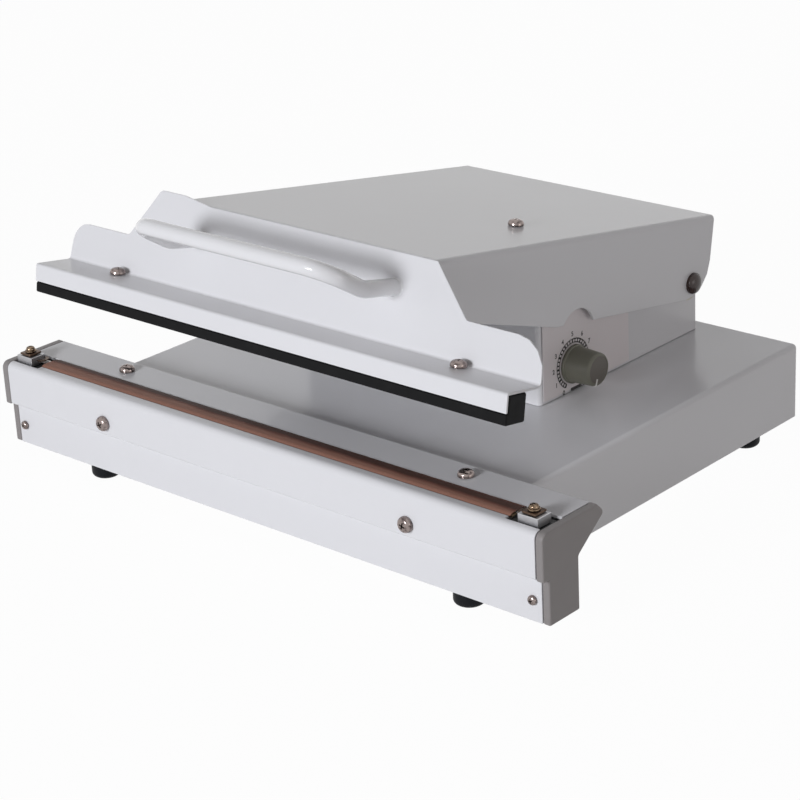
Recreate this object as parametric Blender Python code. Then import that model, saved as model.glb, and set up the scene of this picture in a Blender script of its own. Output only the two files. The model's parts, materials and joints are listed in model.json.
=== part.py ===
"""Table-top impulse heat sealer with a sprung lid, a sealing bar and a timer knob.

Everything is drawn in the bar's own axes: X along the bar, Y back from the
lower front panel's face, Z up from the table.  One empty then brings the
middle of the footprint to the world's origin.  The lid is drawn shut and is
turned open about its hinge by a second empty.
"""
import math

import bmesh
import bpy
from mathutils import Matrix, Vector

MM = 0.001

# General
GAP = 0.3 * MM
SHEET = 1.5 * MM
PANEL_SHEET = 1.2 * MM
OVERRUN = 6.0 * MM
MERGE = 0.001 * MM
ROUND_STEPS = 28
SMALL_STEPS = 16
BEND_STEPS = 4
TUBE_RESOLUTION = 3
SMOOTH_ANGLE = math.radians(35)

# Feet and bottom plate
FOOT_HEIGHT = 8.2 * MM
FOOT_RADIUS = 7.5 * MM
FOOT_EDGE = 2.2 * MM
FOOT_SIDE_INSET = 11.5 * MM
FOOT_FRONT = 12.0 * MM
FOOT_REAR_INSET = 30.0 * MM
BOTTOM_SHEET = 1.2 * MM
BOTTOM_SETBACK = 4.0 * MM

# Sealing bar at the front
BAR_LENGTH = 350.0 * MM
BAR_HEIGHT = 44.5 * MM
BAR_DEPTH = 20.5 * MM
KNEE_HEIGHT = 25.6 * MM
DECK_REAR = 34.0 * MM
WING_RUN = 5.0 * MM
WING_DROP = 5.0 * MM
FRAME_BEND = 2.0 * MM
FRAME_TOE = 2.0 * MM
CAP_THICKNESS = 4.0 * MM
CAP_PLUG = 9.5 * MM
CAP_PLUG_LOW = 3.0 * MM
PANEL_STEP = 4.0 * MM
SEAM_HEIGHT = 21.8 * MM
PANEL_LAP = 3.6 * MM
TOP_BEND = 3.6 * MM

# What lies along the top of the bar
STRIP_FRONT = 3.2 * MM
STRIP_WIDTH = 11.3 * MM
STRIP_PROUD = 0.7 * MM
STRIP_DROP = 0.9 * MM
STRIP_SLOPE = 2.0 * MM
STRIP_THICKNESS = 0.25 * MM
STRIP_INSET = 23.0 * MM
ELEMENT_WIDTH = 3.5 * MM
ELEMENT_THICKNESS = 0.2 * MM
INSULATION_THICKNESS = 0.8 * MM
CORE_HEIGHT = 9.0 * MM

# Terminals at the bar's ends
TERMINAL_LENGTH = 11.0 * MM
TERMINAL_DEPTH = 9.2 * MM
TERMINAL_HEIGHT = 4.6 * MM
TERMINAL_SINK = 1.2 * MM
TERMINAL_INSET = 2.2 * MM
TERMINAL_FRONT = 1.4 * MM
INSULATOR_HEIGHT = 7.0 * MM
INSULATOR_DEPTH = 12.6 * MM
POCKET_DEPTH = 2.6 * MM
WASHER_SIDE = 7.6 * MM
WASHER_THICKNESS = 1.0 * MM

# Bracket that carries the bar's core, behind the front panel
BRACKET_WIDTH = 28.0 * MM
BRACKET_INSET = 5.5 * MM
BRACKET_FOOT = 7.6 * MM
BRACKET_REACH = 12.0 * MM
BRACKET_HEEL = 17.0 * MM

# Screws: head radius, head height, shank radius, shank length
PAN_HEAD = (3.9 * MM, 3.1 * MM, 2.0 * MM, 8.0 * MM)
SMALL_HEAD = (2.3 * MM, 1.8 * MM, 1.3 * MM, 7.0 * MM)
TERMINAL_HEAD = (2.9 * MM, 2.6 * MM, 1.7 * MM, 5.0 * MM)
PANEL_SCREW_INSET = 76.0 * MM
PANEL_SCREW_HEIGHT = 28.8 * MM
SMALL_SCREW_INSET = 9.0 * MM
SMALL_SCREW_HEIGHT = 10.3 * MM
DECK_SCREW_INSET = 64.5 * MM
DECK_SCREW_SETBACK = 10.4 * MM

# Base
BASE_WIDTH = 263.0 * MM
BASE_DEPTH = 258.0 * MM
BASE_STEP_DOWN = 1.7 * MM
BASE_BEND = 2.5 * MM
WELL_HALF = 48.0 * MM
WELL_FRONT = 26.0 * MM
WELL_REAR = 27.0 * MM

# Housing on the base
HOUSING_WIDTH = 155.2 * MM
HOUSING_DEPTH = 130.2 * MM
HOUSING_REAR_INSET = 10.8 * MM
HOUSING_HEIGHT = 46.2 * MM
HOUSING_BEND = 2.5 * MM

# Hinge
OPEN_ANGLE = math.radians(9.65)
HINGE_INSET = 22.2 * MM
HINGE_RISE = 29.0 * MM
SHAFT_RADIUS = 4.0 * MM
BUSH_WALL = 2.0 * MM
BUSH_FLANGE = 3.0 * MM
BUSH_TAIL = 4.0 * MM
PIVOT_CAP_RADIUS = 5.5 * MM
PIVOT_CAP_HEIGHT = 3.6 * MM

# Lid
LID_SIDE_GAP = 3.4 * MM
LID_REAR_GAP = 1.3 * MM
LID_BEND = 2.5 * MM
LID_REAR_BEND = 4.0 * MM
SKIRT_DROP = 8.5 * MM
SKIRT_LEVEL = 111.0 * MM
SKIRT_FRONT_RISE = 15.2 * MM
SKIRT_CORNER = 19.0 * MM
REAR_WALL_LIFT = 5.0 * MM
NOTCH_MARGIN = 3.3 * MM
LID_SCREW_X = 47.6 * MM
LID_SCREW_INSET = 15.5 * MM

# Jaw on the lid's front
JAW_SHEET = 1.2 * MM
JAW_INSET = 24.3 * MM
JAW_FRONT = 3.7 * MM
LEDGE_DEPTH = 21.9 * MM
LIP_HEIGHT = 9.0 * MM
JAW_BEND = 1.4 * MM
PLATE_RISE = 40.4 * MM
PLATE_LEAN = math.radians(12.2)
PLATE_PROUD = 2.6 * MM
EAR_HEIGHT = 19.0 * MM
EAR_RADIUS_LEFT = 9.0 * MM
EAR_RADIUS_RIGHT = 17.0 * MM
SHOULDER_LEFT = 112.0 * MM
SHOULDER_RIGHT = 105.0 * MM
PLATE_TOP_LEFT = 95.5 * MM
PLATE_TOP_RIGHT = 82.5 * MM
PLATE_CORNER = 3.5 * MM
PROUD_END = 79.0 * MM
PROUD_FADE = 19.0 * MM
SHOULDER_FILLET = 3.0 * MM
RUBBER_HEIGHT = 13.0 * MM
RUBBER_DEPTH = 11.8 * MM
CARRIER_HEIGHT = 8.0 * MM
CARRIER_INSET = 9.7 * MM
CARRIER_FLANGE = 6.4 * MM
LEDGE_SCREW_INSET = 41.2 * MM
LEDGE_SCREW_SETBACK = 17.2 * MM
LEDGE_SHANK = 4.0 * MM

# Handle
HANDLE_HALF = 61.5 * MM
HANDLE_RADIUS = 4.0 * MM
HANDLE_SEAT = 25.4 * MM
HANDLE_FOOT = 2.5 * MM
HANDLE_KNEE = 21.0 * MM
HANDLE_DIP = 3.0 * MM
HANDLE_STANDOFF = 47.6 * MM
HANDLE_LIFT = 2.4 * MM
HANDLE_KNEE_BEND = 18.0 * MM
HANDLE_BEND = 14.0 * MM

# Timer
KNOB_INSET = 25.3 * MM
KNOB_RISE = 14.7 * MM
KNOB_BASE_RADIUS = 9.7 * MM
KNOB_FACE_RADIUS = 8.2 * MM
KNOB_LENGTH = 15.4 * MM
KNOB_EDGE = 0.9 * MM
KNOB_WALL = 3.6 * MM
DIAL_MARGIN = 1.6 * MM
DIAL_REAR = 45.0 * MM
DIAL_THICKNESS = 0.4 * MM
TIMER_SHAFT_RADIUS = 3.0 * MM
POT_RADIUS = 8.5 * MM
POT_LENGTH = 8.0 * MM
POT_BORE = 4.0 * MM
BOARD_THICKNESS = 1.6 * MM
BOARD_FRONT = 22.0 * MM
BOARD_REAR = 38.0 * MM
BOARD_LOW = 12.0 * MM
BOARD_HIGH = 16.0 * MM

# Switch under the lid
SWITCH_WIDTH = 6.4 * MM
SWITCH_LENGTH = 20.0 * MM
SWITCH_HEIGHT = 10.5 * MM
PLUNGER_RADIUS = 1.7 * MM
PLUNGER_PROUD = 4.0 * MM
PLUNGER_TRAVEL = 2.0 * MM
PLUNGER_SEAT = 3.5 * MM
STRIKER_SIDE = 7.0 * MM

# Lid springs
SPRING_X = 45.0 * MM
SPRING_FORWARD = 60.0 * MM
SPRING_RADIUS = 6.2 * MM
SPRING_WIRE = 0.8 * MM
SPRING_TURNS = 5
SPRING_POINTS = 12
SPIGOT_RADIUS = 4.6 * MM
SPIGOT_HEIGHT = 3.5 * MM

# Transformer
CORE_HALF = 38.0 * MM
CORE_RISE = 60.0 * MM
CORE_STACK = 30.0 * MM
CORE_LIMB = 12.7 * MM
COIL_OVERHANG = 11.0 * MM
CORE_FORWARD = 56.0 * MM

# Mains inlet
INLET_INSET = 39.5 * MM
INLET_WIDTH = 27.0 * MM
INLET_HEIGHT = 19.6 * MM
INLET_DEPTH = 19.0 * MM
INLET_FLANGE = 2.0 * MM
INLET_LIP = 2.4 * MM
INLET_WALL = 1.6 * MM
INLET_SOCKET = 15.0 * MM
INLET_PIN_HALF = 1.0 * MM
INLET_PIN_TALL = 2.0 * MM
INLET_PIN_PITCH = 7.0 * MM
INLET_PIN_LENGTH = 11.0 * MM

# Heights worked out from the sizes above
PLATE_Z = FOOT_HEIGHT + GAP
BAR_Z = PLATE_Z + BOTTOM_SHEET + GAP
DECK_Z = BAR_Z + BAR_HEIGHT
WING_Z = DECK_Z - WING_DROP
BASE_Z = WING_Z - BASE_STEP_DOWN
HOUSING_Z = BASE_Z + GAP
HOUSING_TOP = BASE_Z + HOUSING_HEIGHT
STRIP_Z = DECK_Z + STRIP_PROUD
RUBBER_Z = STRIP_Z + GAP
LEDGE_Z = RUBBER_Z + RUBBER_HEIGHT + GAP + JAW_SHEET
LID_Z = LEDGE_Z + PLATE_RISE

# Places worked out from the sizes above
BAR_HALF = BAR_LENGTH / 2
STRIP_HALF = BAR_HALF - STRIP_INSET
PANEL_SCREW_X = BAR_HALF - PANEL_SCREW_INSET
DECK_SCREW_X = BAR_HALF - DECK_SCREW_INSET
JAW_HALF = BAR_HALF - JAW_INSET
CARRIER_HALF = JAW_HALF - CARRIER_INSET
LEDGE_SCREW_X = JAW_HALF - LEDGE_SCREW_INSET
SPAN_HALF = BAR_HALF - CAP_THICKNESS - GAP
BASE_HALF = BASE_WIDTH / 2
INLET_X = BASE_HALF - INLET_INSET
WING_Y = DECK_REAR + WING_RUN
HOUSING_HALF = HOUSING_WIDTH / 2
HOUSING_REAR = BASE_DEPTH - HOUSING_REAR_INSET
HOUSING_FRONT = HOUSING_REAR - HOUSING_DEPTH
HINGE_Y = BASE_DEPTH - HINGE_INSET
HINGE_Z = BASE_Z + HINGE_RISE
LID_HALF = HOUSING_HALF + LID_SIDE_GAP + SHEET
LID_REAR = HOUSING_REAR + LID_REAR_GAP + SHEET
LEDGE_REAR = JAW_FRONT + LEDGE_DEPTH
KNOB_Y = HOUSING_FRONT + KNOB_INSET
PLUNGER_Y = HOUSING_FRONT + LID_SCREW_INSET
KNOB_Z = BASE_Z + KNOB_RISE
STRIP_REAR = STRIP_FRONT + STRIP_WIDTH
TERMINAL_X = SPAN_HALF - TERMINAL_INSET - TERMINAL_LENGTH / 2
TERMINAL_Z = DECK_Z - TERMINAL_SINK
REAR_Y = BASE_DEPTH + GAP + INLET_FLANGE

SIDES = (("left", -1), ("right", 1))

# Finishes: red, green, blue, roughness, metallic
FINISHES = {
    "white_paint": (0.80, 0.80, 0.82, 0.35, 0.0),
    "grey_plastic": (0.36, 0.34, 0.33, 0.5, 0.0),
    "black_rubber": (0.02, 0.02, 0.02, 0.6, 0.0),
    "bright_screw": (0.72, 0.68, 0.64, 0.25, 1.0),
    "glass_cloth": (0.30, 0.16, 0.11, 0.4, 0.0),
    "insulation": (0.55, 0.42, 0.28, 0.7, 0.0),
    "element_alloy": (0.55, 0.52, 0.50, 0.4, 1.0),
    "aluminium": (0.75, 0.75, 0.76, 0.4, 1.0),
    "black_plastic": (0.03, 0.03, 0.03, 0.5, 0.0),
    "brass": (0.72, 0.55, 0.30, 0.35, 1.0),
    "zinc_steel": (0.62, 0.62, 0.62, 0.4, 1.0),
    "dial_foil": (0.66, 0.64, 0.62, 0.5, 0.0),
    "knob_plastic": (0.20, 0.20, 0.17, 0.5, 0.0),
    "brown_plastic": (0.09, 0.05, 0.04, 0.35, 0.0),
    "circuit_board": (0.08, 0.25, 0.12, 0.5, 0.0),
    "copper": (0.75, 0.36, 0.20, 0.35, 1.0),
    "lamination": (0.25, 0.25, 0.27, 0.45, 1.0),
    "nylon": (0.78, 0.76, 0.70, 0.5, 0.0),
}


def clear_scene():
    """Remove every object that the file opened with."""
    for thing in list(bpy.data.objects):
        bpy.data.objects.remove(thing, do_unlink=True)


def finish(name):
    """Give the Principled material of a named finish, made once."""
    found = bpy.data.materials.get(name)
    if found:
        return found
    red, green, blue, roughness, metallic = FINISHES[name]
    made = bpy.data.materials.new(name)
    made.use_nodes = True
    shader = made.node_tree.nodes["Principled BSDF"]
    shader.inputs["Base Color"].default_value = (red, green, blue, 1.0)
    shader.inputs["Roughness"].default_value = roughness
    shader.inputs["Metallic"].default_value = metallic
    return made


def empty(name, location, parent=None, turn=0.0):
    """Add an empty that carries other objects, turned about X."""
    holder = bpy.data.objects.new(name, None)
    bpy.context.collection.objects.link(holder)
    holder.parent = parent
    holder.location = location
    holder.rotation_euler = (turn, 0.0, 0.0)
    return holder


def place(name, mesh, surface, carrier):
    """Link a mesh as an object on its carrier, a pair of empty and offset."""
    parent, offset = carrier
    thing = bpy.data.objects.new(name, mesh)
    bpy.context.collection.objects.link(thing)
    mesh.materials.append(finish(surface))
    thing.parent = parent
    thing.location = offset
    return thing


def solid(name, bm, surface, carrier, smooth=False):
    """Turn a bmesh into an object whose faces point outwards."""
    bmesh.ops.recalc_face_normals(bm, faces=bm.faces)
    mesh = bpy.data.meshes.new(name)
    bm.to_mesh(mesh)
    bm.free()
    if smooth:
        mesh.shade_smooth()
        mesh.set_sharp_from_angle(angle=SMOOTH_ANGLE)
    return place(name, mesh, surface, carrier)


def prism_bm(outline, low, high, axis="X"):
    """Extrude an outline along an axis; the outline holds the other two."""
    order = {"X": lambda a, b, c: (c, a, b), "Y": lambda a, b, c: (a, c, b),
             "Z": lambda a, b, c: (a, b, c)}[axis]
    bm = bmesh.new()
    ring = [bm.verts.new(order(a, b, low)) for a, b in outline]
    face = bm.faces.new(ring)
    grown = bmesh.ops.extrude_face_region(bm, geom=[face])
    moved = [part for part in grown["geom"] if isinstance(part, bmesh.types.BMVert)]
    bmesh.ops.translate(bm, verts=moved, vec=order(0.0, 0.0, high - low))
    return bm


def rectangle(low_a, high_a, low_b, high_b):
    """Give the four corners of a rectangle."""
    return [(low_a, low_b), (high_a, low_b), (high_a, high_b), (low_a, high_b)]


def box_bm(x_range, y_range, z_range):
    """Make a box between three pairs of limits."""
    return prism_bm(rectangle(*y_range, *z_range), *x_range)


def turned_bm(profile, steps):
    """Spin a profile of radius and height about Z into a closed solid."""
    bm = bmesh.new()
    ring = [bm.verts.new((radius, 0.0, height)) for radius, height in profile]
    edges = [bm.edges.new(pair) for pair in zip(ring, ring[1:])]
    bmesh.ops.spin(bm, geom=ring + edges, cent=(0, 0, 0), axis=(0, 0, 1),
                   angle=math.tau, steps=steps, use_merge=True)
    bmesh.ops.remove_doubles(bm, verts=bm.verts, dist=MERGE)
    return bm


def aim(bm, direction, point):
    """Turn a solid's +Z to a direction and carry its origin to a point."""
    turn = Vector((0, 0, 1)).rotation_difference(Vector(direction)).to_matrix().to_4x4()
    bmesh.ops.transform(bm, matrix=Matrix.Translation(point) @ turn, verts=bm.verts)
    return bm


def rod_bm(radius, length, direction, point, steps=ROUND_STEPS):
    """Make a plain round rod that starts at a point."""
    profile = [(0.0, 0.0), (radius, 0.0), (radius, length), (0.0, length)]
    return aim(turned_bm(profile, steps), direction, point)


def arc(centre, radius, start, stop, steps=BEND_STEPS):
    """List the points of an arc, with angles in degrees."""
    turns = [math.radians(start + (stop - start) * step / steps) for step in range(steps + 1)]
    return [(centre[0] + radius * math.cos(t), centre[1] + radius * math.sin(t)) for t in turns]


def rounded(points, radii, closed=False):
    """Round the corners of a line through points, each by its own radius."""
    line = []
    count = len(points)
    for index, point in enumerate(points):
        radius = radii[index]
        inside = closed or 0 < index < count - 1
        if not inside or radius <= 0:
            line.append(tuple(point))
            continue
        here = Vector(point)
        back = (Vector(points[index - 1]) - here).normalized()
        ahead = (Vector(points[(index + 1) % count]) - here).normalized()
        half = back.angle(ahead) / 2
        centre = here + (back + ahead).normalized() * radius / math.sin(half)
        first = here + back * radius / math.tan(half)
        last = here + ahead * radius / math.tan(half)
        start = first - centre
        sweep = start.angle_signed(last - centre)
        for step in range(BEND_STEPS + 1):
            spoke = Matrix.Rotation(-sweep * step / BEND_STEPS, 2) @ start
            line.append(tuple(centre + spoke))
    return line


def shifted(points, distance):
    """Give a line through points moved sideways, to its left, by a distance."""
    moved = []
    last = len(points) - 1
    for index, point in enumerate(points):
        here = Vector(point)
        before = here - Vector(points[index - 1]) if index > 0 else None
        after = Vector(points[index + 1]) - here if index < last else None
        one = (before or after).normalized()
        two = (after or before).normalized()
        normal = (Vector((-one.y, one.x)) + Vector((-two.y, two.x))).normalized()
        lean = normal.dot(Vector((-one.y, one.x)))
        moved.append(tuple(here + normal * distance / lean))
    return moved


def folded(points, radii, thickness):
    """Outline a folded sheet whose other face lies to the left of the line."""
    inner = shifted(points, thickness)
    turns = []
    for index, radius in enumerate(radii):
        if radius <= 0:
            turns.append(0.0)
            continue
        before = Vector(points[index]) - Vector(points[index - 1])
        after = Vector(points[index + 1]) - Vector(points[index])
        inside = before.cross(after) > 0
        turns.append(max(radius - thickness, 0.0) if inside else radius + thickness)
    return rounded(points, radii) + rounded(inner, turns)[::-1]


def tube_mesh(name, points, radius, resolution):
    """Make the mesh of a round tube along points."""
    curve = bpy.data.curves.new(name, "CURVE")
    curve.dimensions = "3D"
    curve.bevel_depth = radius
    curve.bevel_resolution = resolution
    curve.use_fill_caps = True
    spline = curve.splines.new("POLY")
    spline.points.add(len(points) - 1)
    for spot, point in zip(spline.points, points):
        spot.co = (*point, 1.0)
    holder = bpy.data.objects.new(name + "_line", curve)
    bpy.context.collection.objects.link(holder)
    bpy.context.view_layer.update()
    mesh = bpy.data.meshes.new_from_object(holder.evaluated_get(bpy.context.evaluated_depsgraph_get()))
    bpy.data.objects.remove(holder, do_unlink=True)
    bm = bmesh.new()
    bm.from_mesh(mesh)
    bmesh.ops.remove_doubles(bm, verts=bm.verts, dist=MERGE)
    bmesh.ops.recalc_face_normals(bm, faces=bm.faces)
    bm.to_mesh(mesh)
    bm.free()
    mesh.materials.clear()
    mesh.shade_smooth()
    mesh.set_sharp_from_angle(angle=SMOOTH_ANGLE)
    return mesh


def change(target, bm, carrier, operation="DIFFERENCE"):
    """Cut a solid out of a target, or join it on, with a Boolean modifier."""
    label = f"{target.name}_{operation.lower()}_{len(target.modifiers)}"
    bmesh.ops.recalc_face_normals(bm, faces=bm.faces)
    mesh = bpy.data.meshes.new(label)
    bm.to_mesh(mesh)
    bm.free()
    cutter = bpy.data.objects.new(label, mesh)
    bpy.context.collection.objects.link(cutter)
    cutter.parent, cutter.location = carrier
    cutter.hide_render = True
    cutter.display_type = "WIRE"
    modifier = target.modifiers.new(label, "BOOLEAN")
    modifier.operation = operation
    modifier.object = cutter
    modifier.solver = "EXACT"
    return target


def bevel_where(bm, test, width):
    """Round the edges whose two ends pass a test."""
    chosen = [edge for edge in bm.edges if test(edge.verts[0].co, edge.verts[1].co)]
    bmesh.ops.bevel(bm, geom=chosen, offset=width, offset_type="OFFSET", segments=BEND_STEPS,
                    profile=0.5, affect="EDGES", material=-1)
    return bm


def near(value, target):
    """Say whether two lengths agree to within the merging distance."""
    return abs(value - target) < MERGE


def screw(name, size, point, direction, surface, carrier, shank=None):
    """Add a pan-head screw whose head sits a gap above a point."""
    head, height, stem, length = size
    length = shank or length
    dome_shares = ((0.0, 1.0), (0.5, 0.94), (0.84, 0.66), (1.0, 0.22))
    profile = [(head * out, height * up) for out, up in dome_shares]
    profile += [(head, 0.0), (stem, 0.0), (stem, -length), (0.0, -length)]
    seat = Vector(point) + Vector(direction) * GAP
    bm = aim(turned_bm(profile, SMALL_STEPS), direction, seat)
    return solid(name, bm, surface, carrier, smooth=True)


def screw_hole(target, size, point, direction, carrier, depth=None):
    """Drill the clearance hole of a screw, with its shank's length past GAP."""
    stem, length = size[2], depth or size[3]
    start = Vector(point) + Vector(direction) * OVERRUN
    reach = OVERRUN + length + GAP
    bm = rod_bm(stem + GAP, reach, -Vector(direction), start, SMALL_STEPS)
    return change(target, bm, carrier)


def plate_point(rise, off=0.0):
    """Give Y and Z on the leaning front plate, a distance up and off it."""
    y = LEDGE_REAR + rise * math.sin(PLATE_LEAN) - off * math.cos(PLATE_LEAN)
    z = LEDGE_Z + rise * math.cos(PLATE_LEAN) + off * math.sin(PLATE_LEAN)
    return y, z


def opened(y, z):
    """Carry a point of the shut lid to where the open lid holds it."""
    out, up = y - HINGE_Y, z - HINGE_Z
    cosine, sine = math.cos(OPEN_ANGLE), math.sin(OPEN_ANGLE)
    return HINGE_Y + out * cosine + up * sine, HINGE_Z - out * sine + up * cosine


def middle_y():
    """Give the middle of the whole depth, from the open handle to the inlet."""
    handle, _ = opened(*plate_point(HANDLE_SEAT + HANDLE_LIFT, HANDLE_STANDOFF))
    return (handle - HANDLE_RADIUS + REAR_Y) / 2


def bent(points, radii):
    """Round the corners of a line in space, each by its own radius."""
    line = []
    for index, point in enumerate(points):
        radius = radii[index]
        if radius <= 0:
            line.append(point)
            continue
        back = (points[index - 1] - point).normalized()
        ahead = (points[index + 1] - point).normalized()
        half = back.angle(ahead) / 2
        centre = point + (back + ahead).normalized() * radius / math.sin(half)
        spoke = point + back * radius / math.tan(half) - centre
        sweep = math.pi - 2 * half
        for step in range(BEND_STEPS + 1):
            turn = Matrix.Rotation(sweep * step / BEND_STEPS, 3, back.cross(spoke))
            line.append(centre + turn @ spoke)
    return line


def build_base(body):
    """Build the bottom plate, the base cover and the four feet."""
    inner = BASE_HALF - SHEET - GAP
    rear = BASE_DEPTH - SHEET - GAP
    bm = box_bm((-inner, inner), (BOTTOM_SETBACK, rear), (PLATE_Z, PLATE_Z + BOTTOM_SHEET))
    solid("bottom_plate", bm, "zinc_steel", body)

    knee_z = BAR_Z + KNEE_HEIGHT
    slope = (WING_Y - BAR_DEPTH) / (WING_Z - knee_z)
    front = BAR_DEPTH + GAP
    lip = front + (BASE_Z - knee_z) * slope + GAP
    outline = [(front, PLATE_Z), (BASE_DEPTH, PLATE_Z), (BASE_DEPTH, BASE_Z), (lip, BASE_Z),
               (front, knee_z - GAP)]
    bm = prism_bm(outline, -BASE_HALF, BASE_HALF)
    bevel_where(bm, lambda a, b: (near(a.z, BASE_Z) and near(b.z, BASE_Z)
                                  and not (near(a.y, lip) and near(b.y, lip)))
                or (near(a.y, BASE_DEPTH) and near(b.y, BASE_DEPTH) and near(a.x, b.x)), BASE_BEND)
    cover = solid("base_cover", bm, "white_paint", body, smooth=True)
    inside = BASE_HALF - SHEET
    bm = box_bm((-inside, inside), (front - OVERRUN, BASE_DEPTH - SHEET), (PLATE_Z - OVERRUN, BASE_Z - SHEET))
    change(cover, bm, body)
    bm = box_bm((-WELL_HALF, WELL_HALF), (HOUSING_FRONT + WELL_FRONT, HOUSING_REAR - WELL_REAR),
                (BASE_Z - SHEET - OVERRUN, BASE_Z + OVERRUN))
    change(cover, bm, body)

    foot_shares = ((0.0, 0.0), (0.55, 0.0), (0.8, 0.12), (0.94, 0.42), (1.0, 1.0))
    for row, y in (("front", FOOT_FRONT), ("rear", BASE_DEPTH - FOOT_REAR_INSET)):
        for side, sign in SIDES:
            profile = [(FOOT_RADIUS * out, FOOT_EDGE * up) for out, up in foot_shares]
            profile += [(FOOT_RADIUS, FOOT_HEIGHT), (0.0, FOOT_HEIGHT)]
            spot = (sign * (BASE_HALF - FOOT_SIDE_INSET), y, 0.0)
            bm = aim(turned_bm(profile, ROUND_STEPS), (0, 0, 1), spot)
            solid(f"foot_{row}_{side}", bm, "black_rubber", body, smooth=True)
    return cover


def build_bar_frame(body):
    """Build the folded frame of the bar: deck, wing, back wall and toe."""
    start = STRIP_REAR + GAP
    line = [(start, DECK_Z), (DECK_REAR, DECK_Z), (WING_Y, WING_Z), (BAR_DEPTH, BAR_Z + KNEE_HEIGHT),
            (BAR_DEPTH, BAR_Z), (FRAME_TOE, BAR_Z)]
    radii = [0.0, FRAME_BEND / 2, FRAME_BEND, FRAME_BEND, FRAME_BEND, 0.0]
    outline = folded(line[::-1], radii[::-1], SHEET)
    frame = solid("bar_frame", prism_bm(outline, -SPAN_HALF, SPAN_HALF), "white_paint", body)
    for _side, sign in SIDES:
        spot = (sign * DECK_SCREW_X, DECK_REAR - DECK_SCREW_SETBACK, DECK_Z)
        screw_hole(frame, PAN_HEAD, spot, (0, 0, 1), body)
    return frame


def build_front_panels(body):
    """Build the lower panel and the upper panel, which folds over the top."""
    lap = BAR_Z + SEAM_HEIGHT + PANEL_LAP
    bm = box_bm((-SPAN_HALF, SPAN_HALF), (0.0, PANEL_SHEET), (BAR_Z, lap))
    lower = solid("lower_front_panel", bm, "white_paint", body)

    seam = BAR_Z + SEAM_HEIGHT + GAP
    top_end = STRIP_FRONT - GAP
    line = [(-GAP, seam), (-PANEL_STEP, seam), (-PANEL_STEP, DECK_Z), (top_end, DECK_Z)]
    radii = [0.0, PANEL_SHEET, TOP_BEND, 0.0]
    outline = folded(line[::-1], radii[::-1], PANEL_SHEET)
    upper = solid("upper_front_panel", prism_bm(outline, -SPAN_HALF, SPAN_HALF), "white_paint", body)
    pocket = STRIP_HALF - GAP
    for _side, sign in SIDES:
        ends = sorted((sign * pocket, sign * (SPAN_HALF + OVERRUN)))
        bm = box_bm(ends, (top_end - POCKET_DEPTH, top_end + OVERRUN), (DECK_Z - OVERRUN, DECK_Z + OVERRUN))
        change(upper, bm, body)
        spot = (sign * PANEL_SCREW_X, -PANEL_STEP, BAR_Z + PANEL_SCREW_HEIGHT)
        screw_hole(upper, PAN_HEAD, spot, (0, -1, 0), body)
        spot = (sign * (BAR_HALF - SMALL_SCREW_INSET), 0.0, BAR_Z + SMALL_SCREW_HEIGHT)
        screw_hole(lower, SMALL_HEAD, spot, (0, -1, 0), body)


def build_end_caps(body):
    """Build the two moulded end caps, each with a plug inside the bar."""
    seam = BAR_Z + SEAM_HEIGHT
    points = [(0.0, BAR_Z), (0.0, seam), (-PANEL_STEP, seam), (-PANEL_STEP, DECK_Z), (DECK_REAR, DECK_Z),
              (WING_Y, WING_Z), (BAR_DEPTH, BAR_Z + KNEE_HEIGHT), (BAR_DEPTH, BAR_Z)]
    radii = [0.0, 0.0, 0.0, TOP_BEND, FRAME_BEND / 2, FRAME_BEND, FRAME_BEND, 0.0]
    outline = rounded(points, radii, closed=True)
    low = BAR_Z + SHEET + CAP_PLUG_LOW
    plug = rectangle(PANEL_SHEET + GAP, BAR_DEPTH - SHEET - GAP, low, seam - GAP)
    for side, sign in SIDES:
        ends = sorted((sign * BAR_HALF, sign * (BAR_HALF - CAP_THICKNESS)))
        cap = solid(f"end_cap_{side}", prism_bm(outline, *ends), "grey_plastic", body)
        ends = sorted((sign * (BAR_HALF - CAP_THICKNESS / 2), sign * (SPAN_HALF - CAP_PLUG)))
        change(cap, prism_bm(plug, *ends), body, "UNION")
        spot = (sign * (BAR_HALF - SMALL_SCREW_INSET), 0.0, BAR_Z + SMALL_SCREW_HEIGHT)
        screw_hole(cap, SMALL_HEAD, spot, (0, -1, 0), body)
        screw(f"lower_panel_screw_{side}", SMALL_HEAD, spot, (0, -1, 0), "bright_screw", body)


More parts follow.
